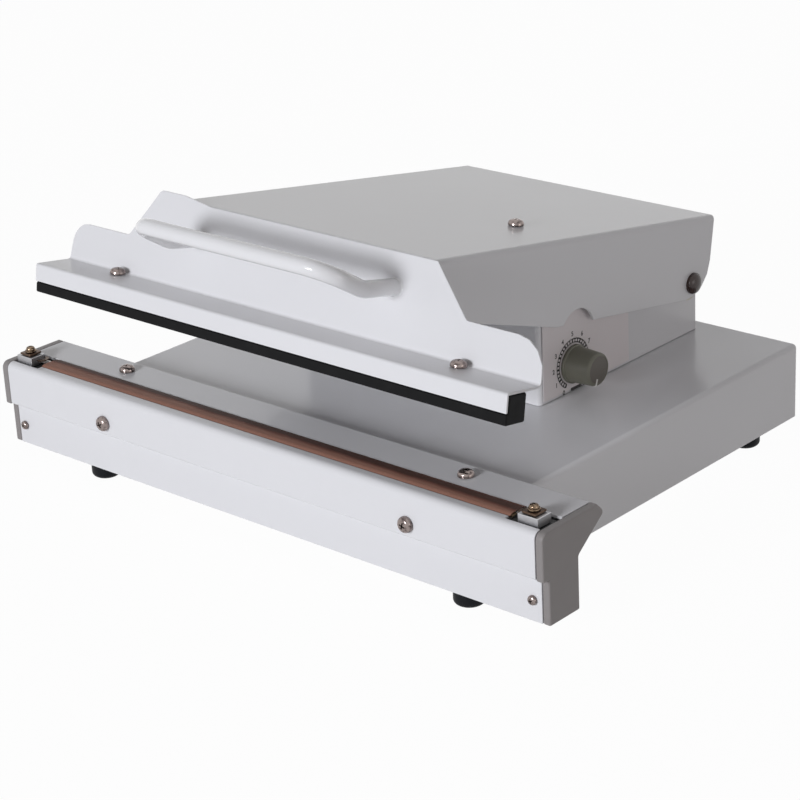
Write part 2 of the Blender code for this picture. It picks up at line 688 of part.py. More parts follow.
def build_heating(body):
    """Build the core, insulation, element and glass-cloth strip on the bar."""
    drop = STRIP_DROP + STRIP_THICKNESS
    under = STRIP_Z - STRIP_THICKNESS - GAP
    inner_front, inner_rear = STRIP_FRONT + STRIP_SLOPE, STRIP_REAR - STRIP_SLOPE
    line = [(STRIP_FRONT, STRIP_Z - STRIP_DROP), (inner_front, STRIP_Z), (inner_rear, STRIP_Z),
            (STRIP_REAR, STRIP_Z - STRIP_DROP)]
    outline = folded(line[::-1], [0.0] * len(line), STRIP_THICKNESS)
    solid("glass_cloth_strip", prism_bm(outline, -STRIP_HALF, STRIP_HALF), "glass_cloth", body)

    middle = (STRIP_FRONT + STRIP_REAR) / 2
    reach = TERMINAL_X - TERMINAL_LENGTH / 2 - GAP
    element_low = under - ELEMENT_THICKNESS
    ribbon = (middle - ELEMENT_WIDTH / 2, middle + ELEMENT_WIDTH / 2)
    bm = box_bm((-reach, reach), ribbon, (element_low, under))
    solid("heating_element", bm, "element_alloy", body)

    insulation_top = element_low - GAP
    insulation_low = insulation_top - INSULATION_THICKNESS
    bm = box_bm((-STRIP_HALF, STRIP_HALF), (inner_front, inner_rear), (insulation_low, insulation_top))
    solid("insulating_strip", bm, "insulation", body)

    core_top = min(insulation_low, STRIP_Z - drop) - GAP
    half = SPAN_HALF - insulator_length() - GAP
    bm = box_bm((-half, half), (STRIP_FRONT, STRIP_REAR), (core_top - CORE_HEIGHT, core_top))
    solid("sealing_bar_core", bm, "aluminium", body)
    return core_top


def insulator_length():
    """Give how far a terminal's insulator runs in from the end cap."""
    return SPAN_HALF - STRIP_HALF - GAP


def build_terminals(body):
    """Build the insulators, clamp blocks, washers and screws at the ends."""
    inner = STRIP_HALF + GAP
    for side, sign in SIDES:
        ends = sorted((sign * inner, sign * SPAN_HALF))
        top = TERMINAL_Z - GAP
        bm = box_bm(ends, (TERMINAL_FRONT - GAP, TERMINAL_FRONT - GAP + INSULATOR_DEPTH),
                    (top - INSULATOR_HEIGHT, top))
        insulator = solid(f"terminal_insulator_{side}", bm, "black_plastic", body)
        x = sign * TERMINAL_X
        half = TERMINAL_LENGTH / 2
        rear = TERMINAL_FRONT + TERMINAL_DEPTH
        bm = box_bm((x - half, x + half), (TERMINAL_FRONT, rear), (TERMINAL_Z, TERMINAL_Z + TERMINAL_HEIGHT))
        block = solid(f"terminal_block_{side}", bm, "aluminium", body)
        y = (TERMINAL_FRONT + rear) / 2
        top = TERMINAL_Z + TERMINAL_HEIGHT + GAP
        bm = box_bm((x - WASHER_SIDE / 2, x + WASHER_SIDE / 2), (y - WASHER_SIDE / 2, y + WASHER_SIDE / 2),
                    (top, top + WASHER_THICKNESS))
        washer = solid(f"terminal_washer_{side}", bm, "brass", body)
        spot = (x, y, top + WASHER_THICKNESS)
        shank = TERMINAL_HEAD[3] + WASHER_THICKNESS
        for target in (block, washer, insulator):
            screw_hole(target, TERMINAL_HEAD, spot, (0, 0, 1), body, depth=shank)
        screw(f"terminal_screw_{side}", TERMINAL_HEAD, spot, (0, 0, 1), "brass", body, shank=shank)


def build_brackets(body, core_top):
    """Build the brackets that join the core, the front panel and the deck."""
    front = -PANEL_STEP + PANEL_SHEET + GAP
    core_low = core_top - CORE_HEIGHT
    rise = core_low - GAP
    foot = rise - BRACKET_FOOT
    step = STRIP_REAR + GAP
    back = step + BRACKET_REACH
    deck = DECK_Z - SHEET - GAP
    heel = min(BRACKET_HEEL, BAR_DEPTH - SHEET - GAP)
    outline = [(front, foot), (heel, foot), (back, rise), (back, deck), (step, deck), (step, rise),
               (front, rise)]
    for side, sign in SIDES:
        inner = PANEL_SCREW_X - BRACKET_INSET
        ends = sorted((sign * inner, sign * (inner + BRACKET_WIDTH)))
        bracket = solid(f"core_bracket_{side}", prism_bm(outline, *ends), "zinc_steel", body)
        panel = (sign * PANEL_SCREW_X, -PANEL_STEP, BAR_Z + PANEL_SCREW_HEIGHT)
        screw_hole(bracket, PAN_HEAD, panel, (0, -1, 0), body)
        screw(f"front_panel_screw_{side}", PAN_HEAD, panel, (0, -1, 0), "bright_screw", body)
        deck_spot = (sign * DECK_SCREW_X, DECK_REAR - DECK_SCREW_SETBACK, DECK_Z)
        screw_hole(bracket, PAN_HEAD, deck_spot, (0, 0, 1), body)
        screw(f"deck_screw_{side}", PAN_HEAD, deck_spot, (0, 0, 1), "bright_screw", body)


def build_housing(body):
    """Build the housing cover with its shaft, spindle and plunger holes."""
    bm = box_bm((-HOUSING_HALF, HOUSING_HALF), (HOUSING_FRONT, HOUSING_REAR), (HOUSING_Z, HOUSING_TOP))
    bevel_where(bm, lambda a, b: not (near(a.z, HOUSING_Z) and near(b.z, HOUSING_Z)), HOUSING_BEND)
    cover = solid("housing_cover", bm, "white_paint", body, smooth=True)
    inner = HOUSING_HALF - SHEET
    bm = box_bm((-inner, inner), (HOUSING_FRONT + SHEET, HOUSING_REAR - SHEET),
                (HOUSING_Z - OVERRUN, HOUSING_TOP - SHEET))
    change(cover, bm, body)
    bush = SHAFT_RADIUS + GAP + BUSH_WALL
    reach = HOUSING_WIDTH + OVERRUN + OVERRUN
    start = (-HOUSING_HALF - OVERRUN, HINGE_Y, HINGE_Z)
    change(cover, rod_bm(bush + GAP, reach, (1, 0, 0), start), body)
    start = (inner - OVERRUN, KNOB_Y, KNOB_Z)
    change(cover, rod_bm(TIMER_SHAFT_RADIUS + GAP, OVERRUN + OVERRUN, (1, 0, 0), start, SMALL_STEPS), body)
    start = (LID_SCREW_X, PLUNGER_Y, HOUSING_TOP - SHEET - OVERRUN)
    reach = OVERRUN + OVERRUN + SHEET
    change(cover, rod_bm(PLUNGER_RADIUS + GAP, reach, (0, 0, 1), start, SMALL_STEPS), body)
    return cover


def build_timer(body, knob):
    """Build the dial foil, the potentiometer, its board, shaft and knob."""
    wall = HOUSING_HALF + GAP
    ahead, behind = HOUSING_FRONT + HOUSING_BEND, KNOB_Y + DIAL_REAR
    foil = rectangle(ahead, behind, HOUSING_Z + DIAL_MARGIN, HOUSING_TOP - HOUSING_BEND)
    dial = solid("dial_plate", prism_bm(foil, wall, wall + DIAL_THICKNESS), "dial_foil", body)
    across = (1, 0, 0)
    start = (wall - OVERRUN, KNOB_Y, KNOB_Z)
    hole = rod_bm(TIMER_SHAFT_RADIUS + GAP, OVERRUN + OVERRUN, across, start, SMALL_STEPS)
    change(dial, hole, body)

    face = HOUSING_HALF - SHEET - GAP
    back = face - POT_LENGTH
    bm = rod_bm(POT_RADIUS, POT_LENGTH, (1, 0, 0), (back, KNOB_Y, KNOB_Z))
    pot = solid("potentiometer", bm, "zinc_steel", body, smooth=True)
    start = (face - POT_BORE, KNOB_Y, KNOB_Z)
    bore = rod_bm(TIMER_SHAFT_RADIUS + GAP, POT_BORE + OVERRUN, across, start, SMALL_STEPS)
    change(pot, bore, body)
    board = back - GAP
    bm = box_bm((board - BOARD_THICKNESS, board), (KNOB_Y - BOARD_FRONT, KNOB_Y + BOARD_REAR),
                (KNOB_Z - BOARD_LOW, KNOB_Z + BOARD_HIGH))
    solid("timer_board", bm, "circuit_board", body)

    foot = wall + DIAL_THICKNESS + GAP
    tip = foot + KNOB_LENGTH
    profile = [(0.0, 0.0), (KNOB_BASE_RADIUS, 0.0), (KNOB_FACE_RADIUS, KNOB_LENGTH - KNOB_EDGE),
               (KNOB_FACE_RADIUS - KNOB_EDGE, KNOB_LENGTH), (0.0, KNOB_LENGTH)]
    bm = aim(turned_bm(profile, ROUND_STEPS), (1, 0, 0), (foot, 0.0, 0.0))
    cap = solid("time_knob", bm, "knob_plastic", knob, smooth=True)
    depth = KNOB_LENGTH - KNOB_WALL
    mouth = (foot - OVERRUN, 0.0, 0.0)
    bore = rod_bm(TIMER_SHAFT_RADIUS + GAP, depth + OVERRUN, across, mouth, SMALL_STEPS)
    change(cap, bore, knob)
    start = face - POT_BORE + GAP
    length = tip - KNOB_WALL - GAP - start
    bm = rod_bm(TIMER_SHAFT_RADIUS, length, (1, 0, 0), (start, 0.0, 0.0), SMALL_STEPS)
    solid("timer_shaft", bm, "brass", knob, smooth=True)


def build_switch(body, plunger):
    """Build the microswitch under the housing's top, and its plunger."""
    y = PLUNGER_Y
    top = HOUSING_TOP - SHEET - GAP
    bm = box_bm((LID_SCREW_X - SWITCH_WIDTH / 2, LID_SCREW_X + SWITCH_WIDTH / 2),
                (y - SWITCH_LENGTH / 2, y + SWITCH_LENGTH / 2), (top - SWITCH_HEIGHT, top))
    body_box = solid("microswitch_body", bm, "black_plastic", body)
    well = PLUNGER_SEAT + PLUNGER_TRAVEL + GAP
    start = (LID_SCREW_X, y, top - well)
    change(body_box, rod_bm(PLUNGER_RADIUS + GAP, well + OVERRUN, (0, 0, 1), start, SMALL_STEPS), body)
    low = -(PLUNGER_SEAT + SHEET + GAP)
    bm = rod_bm(PLUNGER_RADIUS, PLUNGER_PROUD - low, (0, 0, 1), (0.0, 0.0, low), SMALL_STEPS)
    solid("switch_plunger", bm, "nylon", plunger, smooth=True)


def build_springs(body, housing):
    """Build the two springs that hold the lid up, round spigots on the housing."""
    y = HINGE_Y - SPRING_FORWARD
    inner_lid = LID_Z - SHEET
    gaps = []
    for side, sign in SIDES:
        x = sign * SPRING_X
        foot = (x, y, HOUSING_TOP - SHEET / 2)
        spigot = rod_bm(SPIGOT_RADIUS, SPIGOT_HEIGHT + SHEET / 2, (0, 0, 1), foot, SMALL_STEPS)
        change(housing, spigot, body, "UNION")
        start = HOUSING_TOP + GAP + SPRING_WIRE
        points = []
        for step in range(SPRING_TURNS * SPRING_POINTS + 1):
            share = step / (SPRING_TURNS * SPRING_POINTS)
            turn = math.tau * share * SPRING_TURNS
            out = SPRING_RADIUS * math.sin(turn)
            ahead = y + out - HINGE_Y
            roof = HINGE_Z + (inner_lid - HINGE_Z) / math.cos(OPEN_ANGLE) - ahead * math.tan(OPEN_ANGLE)
            stop = roof - GAP - SPRING_WIRE / math.cos(OPEN_ANGLE)
            points.append((x + SPRING_RADIUS * math.cos(turn), y + out, start + share * (stop - start)))
        mesh = tube_mesh(f"lid_spring_{side}", points, SPRING_WIRE, 1)
        place(f"lid_spring_{side}", mesh, "zinc_steel", body)
        gaps.append(min((Vector(points[i]) - Vector(points[j])).length
                        for i in range(len(points))
                        for j in range(i + SPRING_POINTS // 2, len(points))) - SPRING_WIRE - SPRING_WIRE)
    print(f"least gap between spring turns: {min(gaps) / MM:.2f} mm")


def build_transformer(body):
    """Build the transformer's laminated core and the coil on its middle limb."""
    low = PLATE_Z + BOTTOM_SHEET + GAP
    high = low + CORE_RISE
    middle = HINGE_Y - CORE_FORWARD
    front, rear = middle - CORE_STACK / 2, middle + CORE_STACK / 2
    bm = box_bm((-CORE_HALF, CORE_HALF), (front, rear), (low, high))
    core = solid("transformer_core", bm, "lamination", body)
    inner, outer = CORE_LIMB, CORE_HALF - CORE_LIMB
    for _side, sign in SIDES:
        ends = sorted((sign * inner, sign * outer))
        bm = box_bm(ends, (front - OVERRUN, rear + OVERRUN), (low + CORE_LIMB, high - CORE_LIMB))
        change(core, bm, body)
    coil_low, coil_high = low + CORE_LIMB + GAP, high - CORE_LIMB - GAP
    reach = (front - COIL_OVERHANG, rear + COIL_OVERHANG)
    bm = box_bm((GAP - outer, outer - GAP), reach, (coil_low, coil_high))
    coil = solid("transformer_coil", bm, "copper", body)
    through = (coil_low - OVERRUN, coil_high + OVERRUN)
    bm = box_bm((-inner - GAP, inner + GAP), (front - GAP, rear + GAP), through)
    change(coil, bm, body)


def build_inlet(body, cover):
    """Build the three-pin mains inlet in the base's rear wall."""
    z = (PLATE_Z + BASE_Z) / 2
    half_w, half_h = INLET_WIDTH / 2, INLET_HEIGHT / 2
    face = BASE_DEPTH + GAP
    x_range = (INLET_X - half_w, INLET_X + half_w)
    z_range = (z - half_h, z + half_h)
    bm = box_bm(x_range, (face - INLET_DEPTH, face + INLET_FLANGE / 2), z_range)
    inlet = solid("mains_inlet", bm, "black_plastic", body)
    bm = box_bm((x_range[0] - INLET_LIP, x_range[1] + INLET_LIP), (face, face + INLET_FLANGE),
                (z_range[0] - INLET_LIP, z_range[1] + INLET_LIP))
    change(inlet, bm, body, "UNION")
    mouth = face + INLET_FLANGE
    socket = box_bm((x_range[0] + INLET_WALL, x_range[1] - INLET_WALL),
                    (mouth - INLET_SOCKET, mouth + OVERRUN),
                    (z_range[0] + INLET_WALL, z_range[1] - INLET_WALL))
    change(inlet, socket, body)
    floor = mouth - INLET_SOCKET
    for column, row in ((-1, -1), (0, 1), (1, -1)):
        x = INLET_X + column * INLET_PIN_PITCH
        pin_z = z + row * INLET_PIN_TALL
        pin = box_bm((x - INLET_PIN_HALF, x + INLET_PIN_HALF), (floor - GAP, floor + INLET_PIN_LENGTH),
                     (pin_z - INLET_PIN_TALL, pin_z + INLET_PIN_TALL))
        change(inlet, pin, body, "UNION")
    hole = box_bm((x_range[0] - GAP, x_range[1] + GAP), (BASE_DEPTH - SHEET - OVERRUN, BASE_DEPTH + OVERRUN),
                  (z_range[0] - GAP, z_range[1] + GAP))
    change(cover, hole, body)


def build_hinge(body, lid):
    """Build the shaft, its flanged bushes and the caps on its ends."""
    bore = SHAFT_RADIUS + GAP
    inner_lid = LID_HALF - SHEET
    bm = rod_bm(SHAFT_RADIUS, LID_HALF + LID_HALF, (1, 0, 0), (-LID_HALF, HINGE_Y, HINGE_Z))
    solid("hinge_shaft", bm, "zinc_steel", lid, smooth=True)
    cap_shares = ((1.0, 0.0), (1.0, 0.3), (0.86, 0.68), (0.5, 0.93), (0.0, 1.0))
    for side, sign in SIDES:
        tail = SHEET + BUSH_TAIL
        flange = bore + BUSH_WALL + BUSH_FLANGE
        profile = [(bore, -tail), (bore + BUSH_WALL, -tail), (bore + BUSH_WALL, GAP), (flange, GAP),
                   (flange, LID_SIDE_GAP - GAP), (bore, LID_SIDE_GAP - GAP), (bore, -tail)]
        bm = aim(turned_bm(profile, ROUND_STEPS), (sign, 0, 0), (sign * HOUSING_HALF, HINGE_Y, HINGE_Z))
        solid(f"hinge_bush_{side}", bm, "nylon", body, smooth=True)
        profile = [(0.0, 0.0)]
        profile += [(PIVOT_CAP_RADIUS * out, PIVOT_CAP_HEIGHT * up) for out, up in cap_shares]
        spot = (sign * (inner_lid + SHEET + GAP), HINGE_Y, HINGE_Z)
        bm = aim(turned_bm(profile, SMALL_STEPS), (sign, 0, 0), spot)
        solid(f"pivot_cap_{side}", bm, "brown_plastic", lid, smooth=True)


def build_lid(lid):
    """Build the lid cover: a top, two skirts and a back, open below."""
    rise = JAW_SHEET + GAP
    top_front = plate_point(PLATE_RISE / math.cos(PLATE_LEAN), -rise)[0]
    skirt_low = HINGE_Z - SKIRT_DROP
    skirt_front = skirt_low + SKIRT_FRONT_RISE
    low_front = plate_point((skirt_front - LEDGE_Z) / math.cos(PLATE_LEAN), -rise)[0]
    turn = min(SKIRT_CORNER, LID_REAR - HINGE_Y + SKIRT_DROP)
    corner = arc((LID_REAR - turn, skirt_low + turn), turn, -90, 0)
    outline = [(low_front, skirt_front), (HINGE_Y - SKIRT_LEVEL, skirt_low)] + corner
    outline += [(LID_REAR, LID_Z), (top_front, LID_Z)]
    bm = prism_bm(outline, -LID_HALF, LID_HALF)
    bevel_where(bm, lambda a, b: near(a.z, LID_Z) and near(b.z, LID_Z) and near(a.x, b.x), LID_BEND)
    bevel_where(bm, lambda a, b: near(a.z, LID_Z) and near(b.z, LID_Z) and near(a.y, LID_REAR)
                and near(b.y, LID_REAR), LID_REAR_BEND)
    cover = solid("lid_cover", bm, "white_paint", lid, smooth=True)

    inner = LID_HALF - SHEET
    wall = LID_REAR - SHEET
    roof = LID_Z - SHEET
    bm = prism_bm(rectangle(low_front - OVERRUN, wall, skirt_low - OVERRUN, roof), -inner, inner)
    change(cover, bm, lid)
    shelf = HINGE_Z + REAR_WALL_LIFT
    bm = box_bm((-inner, inner), (wall - turn, LID_REAR + OVERRUN), (skirt_low - OVERRUN, shelf))
    change(cover, bm, lid)
    start = (-LID_HALF - OVERRUN, HINGE_Y, HINGE_Z)
    reach = LID_HALF + LID_HALF + OVERRUN + OVERRUN
    change(cover, rod_bm(SHAFT_RADIUS + GAP, reach, (1, 0, 0), start), lid)
    start = (inner - OVERRUN / 2, KNOB_Y, KNOB_Z)
    notch = rod_bm(KNOB_BASE_RADIUS + NOTCH_MARGIN, OVERRUN + OVERRUN, (1, 0, 0), start)
    change(cover, notch, lid)

    y = PLUNGER_Y
    spot = (LID_SCREW_X, y, LID_Z)
    screw_hole(cover, PAN_HEAD, spot, (0, 0, 1), lid)
    low = HOUSING_TOP + PLUNGER_PROUD + GAP
    half = STRIKER_SIDE / 2
    bm = box_bm((LID_SCREW_X - half, LID_SCREW_X + half), (y - half, y + half), (low, roof - GAP))
    striker = solid("switch_striker", bm, "zinc_steel", lid)
    screw_hole(striker, PAN_HEAD, spot, (0, 0, 1), lid)
    screw("lid_screw", PAN_HEAD, spot, (0, 0, 1), "bright_screw", lid)


def plate_outline():
    """Outline what stands above the front plate, as X and rise up the plate."""
    full = PLATE_RISE / math.cos(PLATE_LEAN)
    proud = full + PLATE_PROUD
    over = full + OVERRUN + OVERRUN
    left, right = JAW_HALF, JAW_HALF
    line = [(-left - OVERRUN, EAR_HEIGHT - EAR_RADIUS_LEFT)]
    line += arc((-left + EAR_RADIUS_LEFT, EAR_HEIGHT - EAR_RADIUS_LEFT), EAR_RADIUS_LEFT, 180, 90)
    points = [line[-1], (-SHOULDER_LEFT, EAR_HEIGHT), (-PLATE_TOP_LEFT, proud), (-PROUD_END, proud),
              (-PROUD_END + PROUD_FADE, full), (PLATE_TOP_RIGHT, full), (SHOULDER_RIGHT, EAR_HEIGHT),
              (right - EAR_RADIUS_RIGHT, EAR_HEIGHT)]
    line += rounded(points, [0.0, SHOULDER_FILLET, PLATE_CORNER, 0.0, 0.0, 0.0, SHOULDER_FILLET, 0.0])[1:]
    line += arc((right - EAR_RADIUS_RIGHT, EAR_HEIGHT - EAR_RADIUS_RIGHT), EAR_RADIUS_RIGHT, 90, 0)[1:]
    line += [(right + OVERRUN, EAR_HEIGHT - EAR_RADIUS_RIGHT), (right + OVERRUN, over),
             (-left - OVERRUN, over)]
    return line


def build_jaw(lid):
    """Build the front plate with its ledge and lip, the rubber and its rail."""
    tip = plate_point(PLATE_RISE / math.cos(PLATE_LEAN) + PLATE_PROUD)
    line = [(JAW_FRONT, LEDGE_Z - LIP_HEIGHT), (JAW_FRONT, LEDGE_Z), (LEDGE_REAR, LEDGE_Z), tip]
    radii = [0.0, JAW_BEND, JAW_BEND, 0.0]
    outline = folded(line[::-1], radii[::-1], JAW_SHEET)
    plate = solid("jaw_plate", prism_bm(outline, -JAW_HALF, JAW_HALF), "white_paint", lid)
    bm = prism_bm(plate_outline(), -OVERRUN, OVERRUN, axis="Z")
    axes = Matrix(((1, 0, 0, 0), (0, math.sin(PLATE_LEAN), -math.cos(PLATE_LEAN), LEDGE_REAR),
                   (0, math.cos(PLATE_LEAN), math.sin(PLATE_LEAN), LEDGE_Z), (0, 0, 0, 1)))
    bmesh.ops.transform(bm, matrix=axes, verts=bm.verts)
    change(plate, bm, lid)

    face = JAW_FRONT + JAW_SHEET + GAP
    back = face + RUBBER_DEPTH
    toe = LEDGE_Z - LIP_HEIGHT - GAP
    outline = [(JAW_FRONT + GAP, RUBBER_Z), (back, RUBBER_Z), (back, RUBBER_Z + RUBBER_HEIGHT),
               (face, RUBBER_Z + RUBBER_HEIGHT), (face, toe), (JAW_FRONT + GAP, toe)]
    solid("pressing_rubber", prism_bm(outline, -JAW_HALF, JAW_HALF), "black_rubber", lid)

    roof = LEDGE_Z - JAW_SHEET - GAP
    rail = back + GAP
    points = [(rail, roof - CARRIER_HEIGHT), (rail, roof), (rail + CARRIER_FLANGE, roof)]
    outline = folded(points[::-1], [0.0, JAW_BEND, 0.0], JAW_SHEET)
    carrier = solid("rubber_carrier", prism_bm(outline, -CARRIER_HALF, CARRIER_HALF), "zinc_steel", lid)
    for side, sign in SIDES:
        spot = (sign * LEDGE_SCREW_X, JAW_FRONT + LEDGE_SCREW_SETBACK, LEDGE_Z)
        screw_hole(plate, PAN_HEAD, spot, (0, 0, 1), lid, depth=LEDGE_SHANK)
        screw_hole(carrier, PAN_HEAD, spot, (0, 0, 1), lid, depth=LEDGE_SHANK)
        screw(f"ledge_screw_{side}", PAN_HEAD, spot, (0, 0, 1), "bright_screw", lid, shank=LEDGE_SHANK)
    return plate


def build_handle(lid, plate):
    """Build the bent round handle and the screws that hold it from behind."""
    normal = Vector((0.0, -math.cos(PLATE_LEAN), math.sin(PLATE_LEAN)))
    leg = [(GAP, 0.0), (HANDLE_FOOT, 0.0), (HANDLE_KNEE, -HANDLE_DIP), (HANDLE_STANDOFF, HANDLE_LIFT)]
    corners = [Vector((-HANDLE_HALF, *plate_point(HANDLE_SEAT + lift, off))) for off, lift in leg]
    corners += [Vector((HANDLE_HALF, *plate_point(HANDLE_SEAT + lift, off))) for off, lift in reversed(leg)]
    bends = [0.0, HANDLE_BEND, HANDLE_KNEE_BEND, HANDLE_BEND]
    line = bent(corners, bends + bends[::-1])
    mesh = tube_mesh("handle", line, HANDLE_RADIUS, TUBE_RESOLUTION)
    handle = place("handle", mesh, "white_paint", lid)
    for side, sign in SIDES:
        spot = Vector((sign * HANDLE_HALF, *plate_point(HANDLE_SEAT, -JAW_SHEET)))
        shank = PAN_HEAD[3]
        for target in (handle, plate):
            screw_hole(target, PAN_HEAD, spot, -normal, lid, depth=shank)
        screw(f"handle_screw_{side}", PAN_HEAD, spot, -normal, "zinc_steel", lid)


def main():
    """Build the whole sealer with its lid held open."""
    clear_scene()
    origin = empty("sealer_origin", (0.0, -middle_y(), 0.0))
    body = (origin, (0.0, 0.0, 0.0))
    hinge = empty("lid_pivot", (0.0, HINGE_Y, HINGE_Z), origin, -OPEN_ANGLE)
    lid = (hinge, (0.0, -HINGE_Y, -HINGE_Z))
    knob = (empty("knob_axis", (0.0, KNOB_Y, KNOB_Z), origin), (0.0, 0.0, 0.0))
    plunger = (origin, (LID_SCREW_X, PLUNGER_Y, HOUSING_TOP))

    cover = build_base(body)
    build_bar_frame(body)
    build_front_panels(body)
    build_end_caps(body)
    core_top = build_heating(body)
    build_terminals(body)
    build_brackets(body, core_top)
    housing = build_housing(body)
    build_timer(body, knob)
    build_switch(body, plunger)
    build_springs(body, housing)
    build_transformer(body)
    build_inlet(body, cover)
    build_hinge(body, lid)
    build_lid(lid)
    plate = build_jaw(lid)
    build_handle(lid, plate)


main()
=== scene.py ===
"""The looks of a table-top impulse heat sealer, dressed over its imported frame.

Lengths are metres in the frame's own axes: X along the sealing bar, Y to the
back, Z up from the table.  The lid stands open; what belongs to it is drawn
shut where that is simpler and is then turned open about the hinge.
"""
from __future__ import annotations

import json
import logging
import math
from dataclasses import dataclass, field
from enum import Enum

import bmesh
import bpy
from mathutils import Matrix, Vector

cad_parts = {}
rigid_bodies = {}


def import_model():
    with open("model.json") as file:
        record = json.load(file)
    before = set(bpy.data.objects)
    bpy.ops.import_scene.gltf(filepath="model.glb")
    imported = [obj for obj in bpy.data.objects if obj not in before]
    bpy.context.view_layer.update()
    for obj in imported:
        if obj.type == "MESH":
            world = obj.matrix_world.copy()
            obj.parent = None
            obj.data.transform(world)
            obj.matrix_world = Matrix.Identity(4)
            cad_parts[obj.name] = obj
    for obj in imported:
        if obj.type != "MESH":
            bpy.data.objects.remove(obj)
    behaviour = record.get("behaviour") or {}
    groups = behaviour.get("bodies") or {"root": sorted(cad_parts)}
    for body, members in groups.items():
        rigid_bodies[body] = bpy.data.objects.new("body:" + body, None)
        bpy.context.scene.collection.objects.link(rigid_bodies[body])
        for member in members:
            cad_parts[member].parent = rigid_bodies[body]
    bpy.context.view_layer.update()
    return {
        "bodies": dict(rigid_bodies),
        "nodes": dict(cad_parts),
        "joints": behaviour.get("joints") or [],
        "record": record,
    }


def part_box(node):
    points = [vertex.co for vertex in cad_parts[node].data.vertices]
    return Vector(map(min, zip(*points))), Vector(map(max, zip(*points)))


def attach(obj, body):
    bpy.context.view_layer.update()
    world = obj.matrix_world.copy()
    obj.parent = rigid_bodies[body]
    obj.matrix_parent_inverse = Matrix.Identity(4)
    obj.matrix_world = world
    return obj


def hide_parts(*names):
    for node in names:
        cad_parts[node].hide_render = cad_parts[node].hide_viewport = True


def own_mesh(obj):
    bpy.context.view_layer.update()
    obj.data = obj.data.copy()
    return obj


MM = 0.001
MIDDLE_Y = 124.95 * MM
WELD = 0.001 * MM
SIDES = ("left", "right")
LOG = logging.getLogger("sealer")

Colour = tuple[float, float, float]
Place = tuple[float, float, float]
Profile = tuple[tuple[float, float], ...]


class Axis(Enum):
    """A direction in the frame."""

    ACROSS = Vector((1.0, 0.0, 0.0))
    AHEAD = Vector((0.0, -1.0, 0.0))
    UP = Vector((0.0, 0.0, 1.0))


class Wire:
    """A shader socket whose operators add Math nodes."""

    def __init__(self, recipe: Recipe, socket: bpy.types.NodeSocket) -> None:
        """Keep a socket and the recipe that it belongs to."""
        self.recipe = recipe
        self.socket = socket

    def math(self, operation: str, one: Wire | float, two: Wire | float) -> Wire:
        """Add one Math node.

        Args:
            operation: The Math node's operation.
            one: Its first value.
            two: Its second value.

        Returns:
            The node's result.
        """
        return self.recipe.wire("ShaderNodeMath", {"operation": operation}, {0: one, 1: two})

    def __add__(self, other: Wire | float) -> Wire:
        """Add."""
        return self.math("ADD", self, other)

    __radd__ = __add__

    def __mul__(self, other: Wire | float) -> Wire:
        """Multiply."""
        return self.math("MULTIPLY", self, other)

    __rmul__ = __mul__

    def __sub__(self, other: Wire | float) -> Wire:
        """Subtract."""
        return self.math("SUBTRACT", self, other)

    def __rsub__(self, other: float) -> Wire:
        """Subtract from a number."""
        return self.math("SUBTRACT", other, self)

    def wave(self, period: float) -> Wire:
        """Give a sine of the value, from -1 to 1, with a period in metres."""
        return self.math("SINE", self * (math.tau / period), 0.0)

    def ridges(self, period: float) -> Wire:
        """Give a sine of the value, from 0 to 1, with a period in metres."""
        return self.wave(period) * 0.5 + 0.5

    def clipped(self) -> Wire:
        """Keep the value between 0 and 1."""
        return self.math("MINIMUM", self.math("MAXIMUM", self, 0.0), 1.0)


